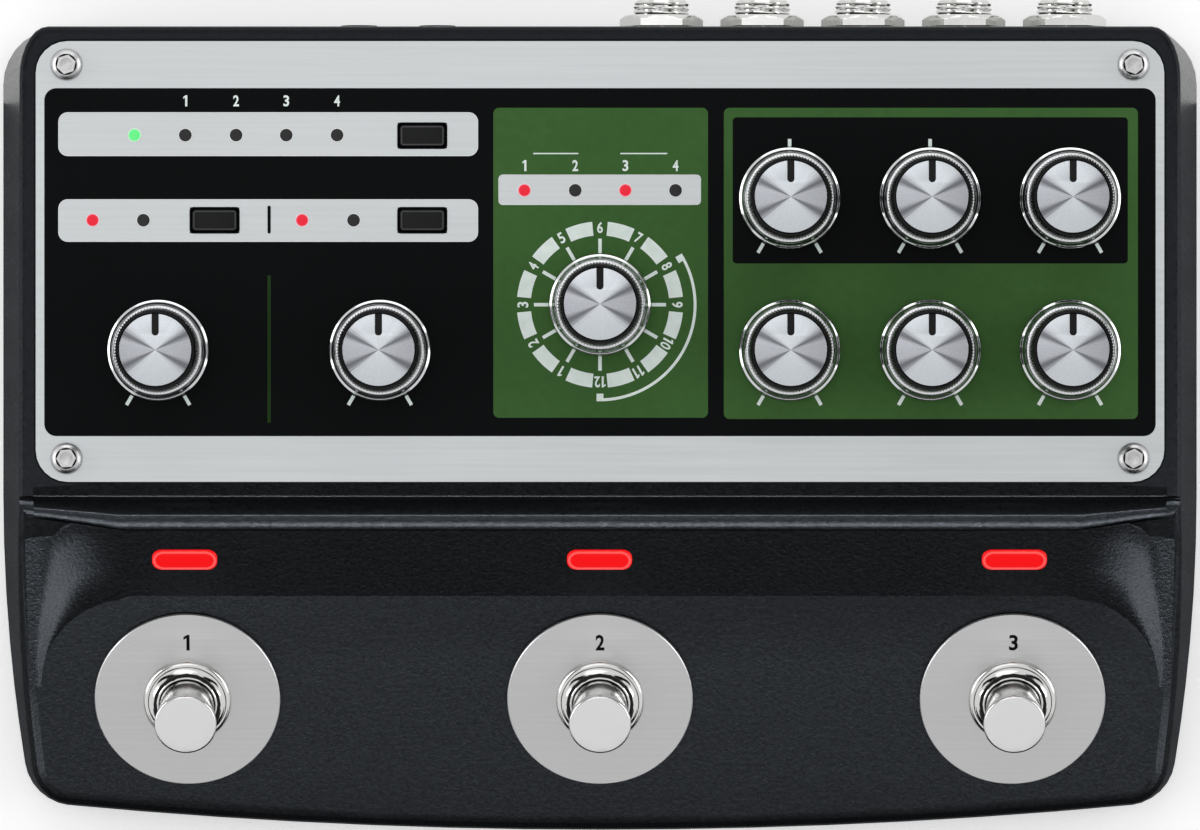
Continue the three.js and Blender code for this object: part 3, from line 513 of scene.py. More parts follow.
class Finish(Nodes):
    """A procedural material round one Principled shader."""

    def __init__(self, name, **constants):
        self.material = bpy.data.materials.new(name)
        self.material.use_nodes = True
        super().__init__(self.material.node_tree)
        self.shader = self.tree.nodes["Principled BSDF"]
        for socket, value in constants.items():
            self.set(socket.replace("_", " "), value)

    def set(self, socket, value):
        self.feed(self.shader.inputs[socket], value)

    def coordinates(self):
        """The surface's own coordinates in metres."""
        return self.node("ShaderNodeTexCoord").outputs["Object"]

    def place(self):
        """The same, as x, y and z."""
        split = self.node("ShaderNodeSeparateXYZ", None, {0: self.coordinates()})
        return [Value(self, output) for output in split.outputs]

    def noise(self, scale, detail, roughness=0.5, where=None, stretch=None):
        where = where or self.coordinates()
        if stretch:
            where = self.node("ShaderNodeMapping", None, {"Vector": where, "Scale": stretch}).outputs[0]
        values = {"Vector": where, "Scale": scale, "Detail": detail, "Roughness": roughness}
        return Value(self, self.node("ShaderNodeTexNoise", None, values).outputs["Fac"])

    def cells(self, scale):
        values = {"Vector": self.coordinates(), "Scale": scale}
        return Value(self, self.node("ShaderNodeTexVoronoi", None, values).outputs["Distance"])

    def blend(self, share, first, second):
        """Mix of two colours, each a plain colour or the result of another mix."""
        sides = [side if isinstance(side, Value) else (*side, 1) for side in (first, second)]
        values = {0: share, 6: sides[0], 7: sides[1]}
        return Value(self, self.node("ShaderNodeMix", {"data_type": "RGBA"}, values).outputs[2])

    def shade(self, share, colour, tones):
        """Base colour between a darker and a lighter tone of one colour."""
        self.set("Base Color", self.blend(share, *[tint(tone, colour) for tone in tones]))

    def roughen(self, wear, ends, roughness=1):
        """Roughness between two ends, which may be shares of another roughness."""
        self.set("Roughness", self.fit(wear, *NOISE_ENDS, *[end * roughness for end in ends]))

    def bump(self, height, strength, distance):
        """Fine relief. It completes the material, which it gives back."""
        values = {"Height": height, "Strength": strength, "Distance": distance}
        self.set("Normal", self.node("ShaderNodeBump", None, values).outputs[0])
        return self.material


def tint(share, colour):
    """The colour made lighter or darker."""
    return tuple(min(1, part * share) for part in colour)


# Finishes

def cast_coat(name, shine, relief):
    """Fine textured black coat on the casting."""
    finish = Finish(name, Specular_IOR_Level=shine, Specular_Tint=COAT_SHINE_TINT)
    grain = finish.noise(*COAT_GRAIN)
    finish.shade(finish.fit(finish.noise(*COAT_PATCHES), *NOISE_ENDS), COAT_BLACK, COAT_TONES)
    finish.roughen(grain, COAT_ROUGHNESS)
    return finish.bump(grain + finish.cells(COAT_PORES) * COAT_PORE_SHARE, relief, COAT_DEPTH)


def brushed(name, colour, roughness, metallic):
    """Sheet metal with a fine straight brush."""
    finish = Finish(name, Metallic=metallic)
    streaks = finish.noise(*BRUSH_STREAKS, stretch=BRUSH_STRETCH)
    mottle = streaks * BRUSH_STREAK_SHARE + finish.noise(*BRUSH_CLOUDS) * (1 - BRUSH_STREAK_SHARE)
    finish.shade(finish.fit(mottle, *PATCH_ENDS), colour, BRUSH_TONES)
    finish.roughen(streaks, BRUSH_WEAR, roughness)
    return finish.bump(streaks, *BRUSH_RELIEF)


def moulded(name, colour, roughness):
    """Moulded plastic with a slight grain."""
    finish = Finish(name, Specular_IOR_Level=MOULD_SHINE)
    wear = finish.noise(*MOULD_PATCHES)
    finish.shade(finish.fit(wear, *PATCH_ENDS), colour, MOULD_TONES)
    finish.roughen(wear, MOULD_WEAR, roughness)
    return finish.bump(finish.noise(*MOULD_GRAIN), *MOULD_RELIEF)


def socket_board(name, node):
    """Green circuit board whose sockets are black where they come near the rear wall."""
    finish = Finish(name, Specular_IOR_Level=MOULD_SHINE, Roughness=BOARD_ROUGHNESS)
    _, y, _ = finish.place()
    start = max(corner.co.y for corner in frame["nodes"][node].data.vertices) - SOCKET_REACH
    socket = finish.fit(y, start, start + SOCKET_EDGE)
    finish.set("Base Color", finish.blend(socket, BOARD_GREEN, SOCKET_BLACK))
    return finish.material


def spun(name):
    """Aluminium disc with turning rings. Two broad fans of painted reflection are bright, with a painted dark
    wedge beside each, and the rings are painted a little darker as shade in the grooves.
    """
    finish = Finish(name, Metallic=1.0)
    x, y, _ = finish.place()
    radius = finish.maths("SQRT", x * x + y * y)
    rings = finish.maths("SINE", radius * (2 * math.pi / RING_PITCH))
    outward = finish.node("ShaderNodeVectorMath", {"operation": "NORMALIZE"}, {0: finish.coordinates()})
    rays = finish.noise(*SPUN_RAYS, where=outward.outputs[0])
    side = finish.maths("ABSOLUTE", y / (radius + SPUN_HUB)) + rays * SPUN_RAY_SHARE
    # Painted reflection: the colour is bright in two fans and dark in a wedge beside each, by the angle round
    # the disc
    painted_fans = finish.blend(finish.fit(side, *SPUN_PAINTED_FAN_EDGE), SPUN_PAINTED_DIM_SIDE, SPUN_PAINTED_FAN_GLINT)
    beside = finish.maths("ABSOLUTE", side - SPUN_PAINTED_WEDGE_PLACE)
    painted_wedge = finish.fit(beside, *SPUN_PAINTED_WEDGE_EDGE, SPUN_PAINTED_WEDGE_SHARE, 0)
    # Painted shade: the fine turning grooves are darkened a little toward the wedge's colour
    groove_shade = finish.fit(rings, -1, 1, 0, SPUN_PAINTED_GROOVE_SHADE)
    finish.set("Base Color", finish.blend(painted_wedge + groove_shade, painted_fans, SPUN_PAINTED_WEDGE_SHADE))
    finish.roughen(rays, SPUN_ROUGHNESS)
    return finish.bump(rings, *SPUN_RELIEF)


def plated(name, colour, roughness):
    """Bright plating with faint wear."""
    finish = Finish(name, Metallic=1.0)
    wear = finish.noise(*PLATE_WEAR)
    finish.shade(wear, colour, PLATE_TONES)
    finish.roughen(wear, PLATE_SPREAD, roughness)
    return finish.bump(finish.noise(*PLATE_GRAIN), *PLATE_RELIEF)


def ink(name, colour):
    """Screen-printed ink, slightly uneven."""
    finish = Finish(name, Specular_IOR_Level=INK_SHINE)
    mottle = finish.noise(*INK_MOTTLE)
    spread = mottle * INK_MOTTLE_SHARE + finish.noise(*INK_CLOUDS) * (1 - INK_MOTTLE_SHARE)
    finish.shade(finish.fit(spread, *PATCH_ENDS), colour, INK_TONES)
    finish.roughen(mottle, INK_WEAR, INK_ROUGHNESS)
    return finish.bump(finish.noise(*INK_GRAIN), *INK_RELIEF)


def lit(name, core, rim, half_width, half_depth, line_place):
    """Lamp plastic lit from below, with a paler line round its edge."""
    finish = Finish(
        name, Roughness=LAMP_ROUGHNESS, Specular_IOR_Level=LAMP_SHINE, Emission_Strength=LAMP_GLOW)
    x, y, _ = finish.place()
    past = finish.maths("MAXIMUM", finish.maths("ABSOLUTE", x) - (half_width - half_depth), 0)
    out = finish.maths("SQRT", past * past + y * y) / half_depth
    off_line = finish.maths("ABSOLUTE", out + finish.noise(*LAMP_HAZE) * LAMP_HAZE_SHARE - line_place)
    line = finish.fit(off_line, *LAMP_LINE_EDGE, LAMP_LINE_SHARE, 0)
    core_share, rim_share = LAMP_BODY_SHARES
    finish.set("Base Color", finish.blend(line, tint(core_share, core), tint(rim_share, rim)))
    finish.set("Emission Color", finish.blend(line, core, rim))
    return finish.material


# Making pieces

def put(name, data):
    """An object of the scene from its data."""
    made = bpy.data.objects.new(name, data)
    bpy.context.scene.collection.objects.link(made)
    return made


def piece(name, mesh, material, body, at=None):
    """A piece of the object from a finished mesh, riding on a body."""
    made = put(name, mesh)
    if at is not None:
        made.matrix_world = at
    mesh.materials.clear()
    mesh.materials.append(material)
    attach(made, body)
    return made


def round_off(mesh, angle):
    """Smooth shading, with the creases sharper than an angle kept."""
    mesh.shade_smooth()
    mesh.set_sharp_from_angle(angle=angle)


def clean(mesh, angle):
    """Points that meet become one, faces look outwards, and shading is smooth up to an angle."""
    work = bmesh.new()
    work.from_mesh(mesh)
    bmesh.ops.remove_doubles(work, verts=work.verts, dist=MERGE_GAP)
    bmesh.ops.recalc_face_normals(work, faces=work.faces)
    work.to_mesh(mesh)
    work.free()
    round_off(mesh, angle)


def rings_mesh(name, rings, closed_ends=True, smooth_angle=SMOOTH):
    """Skin over a stack of rings with equal counts of points."""
    count = len(rings[0])
    vertices = [point for ring in rings for point in ring]
    faces = []
    for low in range(0, len(vertices) - count, count):
        high = low + count
        for i in range(count):
            j = (i + 1) % count
            faces.append((low + i, low + j, high + j, high + i))
    if closed_ends:
        faces.append(tuple(reversed(range(count))))
        faces.append(tuple(range(len(vertices) - count, len(vertices))))
    mesh = bpy.data.meshes.new(name)
    mesh.from_pydata(vertices, [], faces)
    clean(mesh, smooth_angle)
    return mesh


def circle(radius, height, sides, wave=None):
    """Points round a circle, whose radius a wave may change."""
    points = []
    for i in range(sides):
        angle = 2 * math.pi * i / sides
        r = radius - (wave(i) if wave else 0)
        points.append((r * math.cos(angle), r * math.sin(angle), height))
    return points


def turned(name, profile, sides, closed=False, smooth_angle=SMOOTH):
    """A revolved shape from its radii and heights. A closed profile makes a ring."""
    rings = [circle(radius, height, sides) for radius, height in profile]
    if closed:
        rings.append(rings[0])
    return rings_mesh(name, rings, not closed, smooth_angle)


def arc(x, y, radius, start, end, steps):
    """Points along an arc, in degrees."""
    turn = [math.radians(start + (end - start) * i / steps) for i in range(steps + 1)]
    return [(x + radius * math.cos(angle), y + radius * math.sin(angle)) for angle in turn]


def hole(x, y, radius, sides):
    return arc(x, y, radius, 0, 360 - 360 / sides, sides - 1)


def rounded_rectangle(low, high, radius, steps=8):
    left, right = low[0] + radius, high[0] - radius
    front, rear = low[1] + radius, high[1] - radius
    return (
        arc(right, front, radius, -90, 0, steps)
        + arc(right, rear, radius, 0, 90, steps)
        + arc(left, rear, radius, 90, 180, steps)
        + arc(left, front, radius, 180, 270, steps)
    )


def grown(low, high, amount, radius, steps=8):
    """Rounded rectangle round a box, or inside it where the amount is below zero."""
    return rounded_rectangle(
        (low[0] - amount, low[1] - amount), (high[0] + amount, high[1] + amount), radius, steps)


def curve_mesh(name, curve):
    """Mesh of a finished curve."""
    carrier = put(name, curve)
    bpy.context.view_layer.update()
    mesh = bpy.data.meshes.new_from_object(carrier.evaluated_get(bpy.context.evaluated_depsgraph_get()))
    bpy.data.objects.remove(carrier)
    return mesh


def slab(name, outlines, bottom, top, edge=0.0):
    """A flat piece with an outline and holes, and an edge that is broken if asked."""
    curve = bpy.data.curves.new(name, "CURVE")
    curve.dimensions = "2D"
    curve.fill_mode = "BOTH"
    curve.extrude = (top - bottom) / 2 - edge
    curve.bevel_depth = edge
    curve.bevel_resolution = 2 if edge else 0
    curve.offset = -edge
    for outline in outlines:
        spline = curve.splines.new("POLY")
        spline.points.add(len(outline) - 1)
        for point, (x, y) in zip(spline.points, outline):
            point.co = (x, y, 0, 1)
        spline.use_cyclic_u = True
    mesh = curve_mesh(name, curve)
    mesh.transform(Matrix.Translation((0, 0, (bottom + top) / 2)))
    clean(mesh, SLAB_SMOOTH)
    return mesh


def figure(character, height):
    """One bold, narrow figure of a height, standing at the origin. A nine is a six turned over."""
    if character == "1":
        return slab("figure_1", [[(x * height, y * height) for x, y in FIGURE_ONE]], 0, PRINT_STEP)
    curve = bpy.data.curves.new("figure", "FONT")
    curve.body = "6" if character == "9" else character
    curve.size = height
    curve.extrude = PRINT_STEP / 2
    curve.offset = height * FIGURE_WEIGHT
    mesh = curve_mesh("figure", curve)
    if character == "9":
        mesh.transform(Matrix.Rotation(math.pi, 4, "Z"))
    xs, ys = [v.co.x for v in mesh.vertices], [v.co.y for v in mesh.vertices]
    mesh.transform(Matrix.Translation((-min(xs), -min(ys), PRINT_STEP / 2)))
    narrow = FIGURE_WIDTH * height / (max(xs) - min(xs))
    mesh.transform(Matrix.Diagonal((narrow, height / (max(ys) - min(ys)), 1, 1)))
    return mesh


def number(name, value, height, x, y, bottom, turn=0.0):
    """A plain number as a raised print, centred on a place and turned there."""
    figures, reach = [], 0
    for character in value:
        mesh = figure(character, height)
        mesh.transform(Matrix.Translation((reach, 0, 0)))
        reach = max(v.co.x for v in mesh.vertices) + FIGURE_GAP * height
        figures.append(mesh)
    whole = joined(name, figures)
    whole.transform(Matrix.Translation((-(reach - FIGURE_GAP * height) / 2, -height / 2, 0)))
    whole.transform(Matrix.Translation((x, y, bottom)) @ Matrix.Rotation(turn, 4, "Z"))
    return whole


def joined(name, meshes):
    """Several meshes as one."""
    work = bmesh.new()
    for mesh in meshes:
        work.from_mesh(mesh)
    whole = bpy.data.meshes.new(name)
    work.to_mesh(whole)
    work.free()
    round_off(whole, SLAB_SMOOTH)
    return whole


def millimetres(values):
    return [value * MM for value in values]


def middle(node):
    low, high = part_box(node)
    return (low + high) / 2


def size(node):
    low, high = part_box(node)
    return high - low


def knobs():
    return [body for body in frame["bodies"] if body.endswith("_knob")]


# Camera, light and floor

def set_camera():
    data = bpy.data.cameras.new("photo_camera")
    data.sensor_width = CAMERA_SENSOR
    data.lens = CAMERA_LENS
    data.clip_end = CAMERA_REACH
    camera = put("photo_camera", data)
    camera.location = (0, CAMERA_NORTH, CAMERA_HEIGHT)
    bpy.context.scene.camera = camera


def facing(place):
    """Turn of a lamp or card that looks at the middle of the unit from a place."""
    return (-Vector(place)).to_track_quat("-Z", "Y").to_euler()


def soft_box(name, place, width, depth, power):
    """A large soft lamp that looks at the middle of the unit."""
    data = bpy.data.lights.new(name, "AREA")
    data.shape = "RECTANGLE"
    data.size = width
    data.size_y = depth
    data.energy = power
    lamp = put(name, data)
    lamp.location = place
    lamp.rotation_euler = facing(place)
    return lamp


def light_only(lamp, pieces):
    """Lets a lamp light chosen pieces alone."""
    chosen = bpy.data.collections.new(lamp.name)
    for made in pieces:
        chosen.objects.link(made)
    lamp.light_linking.receiver_collection = chosen
    lamp.visible_diffuse = False


def sheet(name, width, depth, material):
    """A flat rectangle round the origin."""
    x, y = width / 2, depth / 2
    mesh = bpy.data.meshes.new(name)
    mesh.from_pydata([(-x, -y, 0), (x, -y, 0), (x, y, 0), (-x, y, 0)], [], [(0, 1, 2, 3)])
    mesh.materials.append(material)
    return put(name, mesh)


def shine_card(name, place, width, depth, shade, flat):
    """A card that only shows in shiny surfaces, to give them contrast."""
    card = sheet(name, width, depth, moulded(name, shade, CARD_ROUGHNESS))
    card.location = place
    if not flat:
        card.rotation_euler = facing(place)
    card.visible_camera = False
    card.visible_diffuse = False
    card.visible_shadow = False


def set_room():
    """White to rays that see it, and dimmer as light."""
    world = bpy.data.worlds.new("room")
    bpy.context.scene.world = world
    world.use_nodes = True
    nodes = Nodes(world.node_tree)
    back = nodes.tree.nodes["Background"]
    nodes.feed(back.inputs["Strength"], nodes.fit(nodes.seen(), 0, 1, ROOM_LIGHT))
    nodes.feed(back.inputs["Color"], (1, 1, 1, 1))


def set_light(casting):
    for lamp in ROOM_LAMPS:
        soft_box(*lamp)
    for lamp in CASTING_LAMPS:
        light_only(soft_box(*lamp), casting)
    for card in CARDS:
        shine_card(*card)
    set_room()


def floor_paper():
    """Pale matt paper, lifted to white where it is seen but still in shade under the unit."""
    finish = Finish("floor_paper", Roughness=PAPER_ROUGHNESS, Emission_Strength=FLOOR_LIFT)
    finish.set("Base Color", finish.blend(finish.noise(*PAPER_MOTTLE), *PAPER_SHADES))
    finish.set("Emission Color", finish.blend(finish.seen(), (0, 0, 0), (1, 1, 1)))
    return finish.material


def set_floor():
    sheet("floor", 2 * FLOOR_HALF, 2 * FLOOR_HALF, floor_paper())


# Knobs

def skirt_mesh(name, radius):
    """Bright skirt that flares out from a rounded lip, like the bell of a horn."""
    edge = KNOB_ROUND
    inner, outer = BARREL_RADIUS - edge, radius - edge / 2
    profile = [
        (inner, 0), (radius - edge, 0), (radius, edge), (radius, SKIRT_EDGE - edge), (outer, SKIRT_EDGE)]
    for i in range(1, SKIRT_STEPS + 1):
        turn = 90 * DEG * i / SKIRT_STEPS
        rise = (SKIRT_HEIGHT - SKIRT_EDGE) * (1 - math.cos(turn))
        profile.append((outer - (outer - LIP_RADIUS) * math.sin(turn), SKIRT_EDGE + rise))
    profile.append((LIP_RADIUS - edge / 2, SKIRT_HEIGHT + edge / 2))
    profile.append((inner, SKIRT_HEIGHT + edge / 2))
    return turned(name, profile, SKIRT_SIDES, True, SKIRT_SMOOTH)


def barrel_mesh(name):
    """Black barrel with fine ridges and a flat rim round its recess."""
    top, edge, wave = KNOB_HEIGHT, KNOB_ROUND, RIDGE_WAVE
    around = RIDGES * len(wave)
    start, end = RIDGE_START_SHARE * RIDGE_DEPTH, RIDGE_END_SHARE * RIDGE_DEPTH
    profile = (
        (BARREL_RADIUS - 2 * edge, edge, 0),
        (BARREL_RADIUS - 2 * edge, SKIRT_HEIGHT, 0),
        (BARREL_RADIUS - edge / 2, SKIRT_HEIGHT + edge, start),
        (BARREL_RADIUS, SKIRT_HEIGHT + 2 * edge, RIDGE_DEPTH),
        (BARREL_TOP_RADIUS, top - 3 * edge, RIDGE_DEPTH),
        (BARREL_TOP_RADIUS - edge / 2, top - 2 * edge, end),
        (CROWN_RADIUS, top - edge / 2, 0),
        (CROWN_RADIUS - edge, top, 0),
        (DISC_RADIUS + edge, top, 0),
        (DISC_RADIUS + edge / 4, top - edge, 0),
        (DISC_RADIUS + edge / 4, top - 4 * edge, 0),
    )
    rings = [circle(radius, height, around, lambda i, deep=depth: deep * wave[i % len(wave)])
             for radius, height, depth in profile]
    return rings_mesh(name, rings, True, BARREL_SMOOTH)


def disc_mesh(name):
    """Flat spun disc with a broken edge and a pointer slot from its edge."""
    half = SLOT_WIDTH / 2
    opening = math.degrees(math.asin(half / DISC_RADIUS))
    outline = arc(0, 0, DISC_RADIUS, 90 + opening, 450 - opening, DISC_STEPS)
    outline += arc(0, DISC_RADIUS - SLOT_LENGTH + half, half, 0, -180, SLOT_STEPS)
    return slab(name, [outline], -DISC_THICKNESS, 0, DISC_EDGE)


def dress_knobs(plastic, chrome, metal):
    for body in knobs():
        x, y, _ = middle(body)
        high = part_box(body)[1].z
        foot = Matrix.Translation((x, y, high - KNOB_HEIGHT))
        made = piece(f"{body}_barrel", barrel_mesh(body), plastic, body, foot)
        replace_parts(made, body)
        skirt = skirt_mesh(f"{body}_skirt", size(body).x / 2)
        piece(f"{body}_skirt", skirt, chrome, body, foot)
        top = Matrix.Translation((x, y, high))
        disc = piece(f"{body}_spun_top", disc_mesh(body), metal, body, top)
        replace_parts(disc, f"{body}_disc")
        floor = slab(f"{body}_slot_floor", [hole(0, 0, DISC_RADIUS, RECESS_SIDES)], *RECESS_FLOOR)
        piece(f"{body}_recess", floor, plastic, body, top)


# Printed panel, in the layers that a screen printer would lay down, with painted highlights along the bars'
# edges and round the lamps

def print_level(layer):
    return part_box("face_plate")[1].z + layer * PRINT_STEP


def printed(name, outlines, layer, material):
    """One printed field, from the plate up to its own layer."""
    mesh = slab(name, outlines, print_level(PRINT_START), print_level(layer))
    piece(name, mesh, material, "chassis")


def sector(x, y, inner, outer, start, end, steps=8):
    return arc(x, y, outer, start, end, steps) + arc(x, y, inner, end, start, steps)


def bar(x, y, width, depth, radius=0.0):
    low = (x - width / 2, y - depth / 2)
    high = (x + width / 2, y + depth / 2)
    if radius:
        return rounded_rectangle(low, high, radius)
    return [low, (high[0], low[1]), high, (low[0], high[1])]


def field(corners, radius, amount=0):
    """Outline of a printed field, which an amount may make larger or smaller."""
    low, high = [millimetres(corner) for corner in corners]
    return grown(low, high, amount, radius)


def direction(angle):
    """Cosine and sine of an angle in degrees."""
    return math.cos(math.radians(angle)), math.sin(math.radians(angle))


def spoke(x, y, inner, outer, angle, width=TICK_WIDTH):
    """A short bar that points away from a centre. Angles are in degrees from +X."""
    c, s = direction(angle)
    half = width / 2
    corners = ((inner, -half), (outer, -half), (outer, half), (inner, half))
    return [(x + c * r - s * across, y + s * r + c * across) for r, across in corners]


def print_fields(inks):
    windows = [(corners, LAMP_BAR_CORNER) for corners in LAMP_BARS] + [(HEAD_BAR, HEAD_BAR_CORNER)]
    openings = [field(*window) for window in windows]
    printed("black_field", [field(BLACK_FIELD, PRINT_CORNER), *openings], 1, inks["black"])
    printed("mode_field", [field(MODE_FIELD, GREEN_CORNER), openings[-1]], 2, inks["green"])
    printed("tone_field", [field(TONE_FIELD, GREEN_CORNER)], 2, inks["green"])
    printed("tone_black", [field(TONE_BLACK, TONE_BLACK_CORNER)], 3, inks["black"])
    printed("green_divider", [bar(*millimetres(GREEN_DIVIDER))], 2, inks["dark_green"])
    printed("bar_divider", [bar(*millimetres(BAR_DIVIDER), BAR_DIVIDER_CORNER)], 2, inks["black"])
    # Pale rings just inside the bars' openings are painted highlights along their edges
    for i, (corners, radius) in enumerate(windows):
        ring = [openings[i], field(corners, radius - PAINTED_HIGHLIGHT_LINE, -PAINTED_HIGHLIGHT_LINE)]
        printed(f"bar_painted_highlight_{i + 1}", ring, 1, inks["edge"])
    for i, line in enumerate(HEAD_LINES):
        printed(f"head_line_{i + 1}", [bar(*millimetres(line))], 3, inks["white"])


def print_wells(inks):
    """Black lines round the wells of the push buttons."""
    for i, name in enumerate(BUTTONS):
        low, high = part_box(f"{name}_button")
        ring = [grown(low, high, WELL_GAP, WELL_CORNER, 5),
                grown(low, high, WELL_GAP - WELL_LINE, WELL_INNER_CORNER, 5)]
        printed(f"well_edge_{i + 1}", ring, 2, inks["black"])


def print_dial(inks):
    """Ring of blocks, ticks and numbers round the mode selector."""
    x, y, _ = middle("mode_knob")
    numbers = []
    for i in range(DIAL_STEPS):
        turn = DIAL_PITCH * i
        start = turn + (DIAL_PITCH - DIAL_BLOCK) / 2
        block = sector(x, y, *DIAL_BAND, start, start + DIAL_BLOCK)
        printed(f"dial_block_{i + 1}", [block], 3, inks["white"])
        printed(f"dial_tick_{i + 1}", [spoke(x, y, *DIAL_TICK, turn)], 3, inks["white"])
        back = DIAL_PITCH * (DIAL_TOP - 1 - i)
        c, s = direction(90 + back)
        numbers.append(number(
            f"dial_{i + 1}", str(i + 1), NUMBER_HEIGHT, x + DIAL_NUMBERS * c, y + DIAL_NUMBERS * s,
            print_level(2), math.radians(back)))
    piece("dial_numbers", joined("dial_numbers", numbers), inks["white"], "chassis")
    bracket = sector(x, y, *DIAL_BRACKET, *BRACKET_ENDS, BRACKET_STEPS)
    printed("dial_bracket", [bracket], 3, inks["white"])
    inner, outer = DIAL_BRACKET
    for i, angle in enumerate(BRACKET_ENDS):
        cap = spoke(x, y, inner - BRACKET_CAP_REACH, outer, angle, BRACKET_CAP_WIDTH)
        printed(f"bracket_cap_{i + 1}", [cap], 4, inks["white"])


def print_knob_ticks(inks):
    for body in knobs():
        if body == "mode_knob":
            continue
        x, y, _ = middle(body)
        for i, angle in enumerate(KNOB_TICK_ANGLES):
            printed(f"{body}_tick_{i + 1}", [spoke(x, y, *KNOB_TICK, angle)], 4, inks["white"])
        if body in TOP_TICK_KNOBS:
            printed(f"{body}_top_tick", [spoke(x, y, *TOP_TICK, TOP_TICK_ANGLE)], 4, inks["white"])


def print_lamp_numbers(inks):
    """Plain numbers over the two rows of lamps that count something."""
    numbers = []
    for row, first, lift in LAMP_NUMBERS:
        y, places = LAMP_ROWS[row]
        for i, x in enumerate(places[first:]):
            numbers.append(number(
                f"lamp_{row}_{i}", str(i + 1), NUMBER_HEIGHT, x * MM, (y + lift) * MM, print_level(2)))
    piece("lamp_numbers", joined("lamp_numbers", numbers), inks["white"], "chassis")


def lamp_kind(place):
    if place in LIT_GREEN:
        return "green_lamp"
    return "red_lamp" if place in LIT_RED else "dark_lamp"


def set_lamps(finishes):
    """Small round lamp windows, some of them lit, each with a pale ring round it as a painted highlight."""
    profile = [(LAMP_RADIUS, -LAMP_DEPTH), (LAMP_RADIUS, -LAMP_EDGE / 2),
               (LAMP_RADIUS - LAMP_EDGE / 2, 0), (LAMP_RADIUS / 2, LAMP_EDGE / 3)]
    for row, (north, places) in enumerate(LAMP_ROWS):
        for i, across in enumerate(places):
            x, y = millimetres((across, north))
            name = f"lamp_{row + 1}_{i + 1}"
            finish = finishes[lamp_kind((north, across))]
            at = Matrix.Translation((x, y, print_level(2)))
            piece(name, turned(name, profile, LAMP_SIDES), finish, "chassis", at)
            # A pale ring round each lamp is a painted highlight
            rim = [hole(x, y, radius, LAMP_RIM_SIDES) for radius in (LAMP_RADIUS + PAINTED_HIGHLIGHT_LINE, LAMP_RADIUS)]
            printed(f"lamp_rim_{row + 1}_{i + 1}", rim, 2, finishes["edge"])


# Screws, footswitches, lenses and buttons

def six_sided(turn):
    """Distance of a hexagon's edge at a turn, as a share of the distance of its corners."""
    return FLAT_SHARE / math.cos(turn % (math.pi / 3) - math.pi / 6)


def hexagon(radius, height, sides):
    """Points along a hexagon, given by its radius across the corners."""
    return circle(radius, height, sides, lambda i: radius * (1 - six_sided(2 * math.pi * i / sides)))


def button_head(name, radius, height, socket, depth, sides):
    """Domed screw head with a hexagon socket."""
    rings = [circle(radius - SCREW_ROUND, 0, sides), circle(radius, SCREW_ROUND, sides)]
    for i in range(1, SCREW_STEPS + 1):
        angle = SCREW_DOME * i / SCREW_STEPS
        rise = (height - SCREW_ROUND) * math.sin(angle) / math.sin(SCREW_DOME)
        rings.append(circle(radius * math.cos(angle), SCREW_ROUND + rise, sides))
    rings.append(circle(socket + SOCKET_RIM, height, sides))
    rings.append(hexagon(socket + SOCKET_BEVEL, height, sides))
    rings.append(hexagon(socket, height - SOCKET_BEVEL, sides))
    rings.append(hexagon(socket, height - depth, sides))
    rings.append(circle(socket * SOCKET_POINT_SHARE, height - depth - SOCKET_POINT, sides))
    return rings_mesh(name, rings, True, SLAB_SMOOTH)


def panel_screws():
    return [f"panel_screw_{i + 1}" for i in range(len(PANEL_SCREW_TURNS))]


def dress_screws(metal):
    for node, turn in zip(panel_screws(), PANEL_SCREW_TURNS):
        x, y, _ = middle(node)
        mesh = button_head(node, size(node).y / 2, *PANEL_SCREW)
        seat = Matrix.Translation((x, y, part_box(node)[1].z - PANEL_SCREW[0]))
        at = seat @ Matrix.Rotation(turn, 4, "Z")
        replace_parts(piece(f"{node}_head", mesh, metal, "chassis", at), node)


def foot_plate_mesh(name):
    radius, inner = size(name).x / 2, BUSH_RADIUS + FOOT_PLATE_GAP
    half, edge = FOOT_PLATE_HALF, FOOT_PLATE_EDGE
    profile = (
        (inner, -half), (radius - edge, -half), (radius, -half + edge), (radius, half - edge),
        (radius - edge, half), (inner, half))
    return turned(name, profile, FOOT_PLATE_SIDES, True)


def dress_nut_mesh(name):
    """Polished nut with a rounded rim, from which a shallow cone climbs to the bore."""
    return turned(name, [millimetres(place) for place in NUT_PROFILE], TURNED_SIDES, True, TURNED_SMOOTH)


def plunger_mesh(name):
    """Stem that opens out to a flat cap with a small rounded edge."""
    edge = PLUNGER_EDGE
    profile = [(STEM_RADIUS, -STEM_LENGTH), (STEM_RADIUS, -FLARE_LENGTH)]
    for i in range(1, FLARE_STEPS):
        share = i / FLARE_STEPS
        flare = (PLUNGER_RADIUS - STEM_RADIUS) * share ** FLARE_CURVE
        profile.append((STEM_RADIUS + flare, -FLARE_LENGTH + (FLARE_LENGTH - edge) * share))
    for i in range(FLARE_STEPS + 1):
        angle = 90 * DEG * i / FLARE_STEPS
        profile.append((PLUNGER_RADIUS - edge * (1 - math.cos(angle)), -edge * (1 - math.sin(angle))))
    profile.append((PLUNGER_RADIUS / 2, 0))
    return turned(name, profile, TURNED_SIDES)


def plunger_top(side):
    """Height of a plunger's cap over the middle of its foot plate, along its own axis."""
    tilt = Matrix.Rotation(-FOOT_TILT, 4, "X")
    tips = [tilt @ vertex.co for vertex in frame["nodes"][f"{side}_plunger"].data.vertices]
    return max(tip.z for tip in tips) - (tilt @ middle(f"{side}_foot_plate")).z


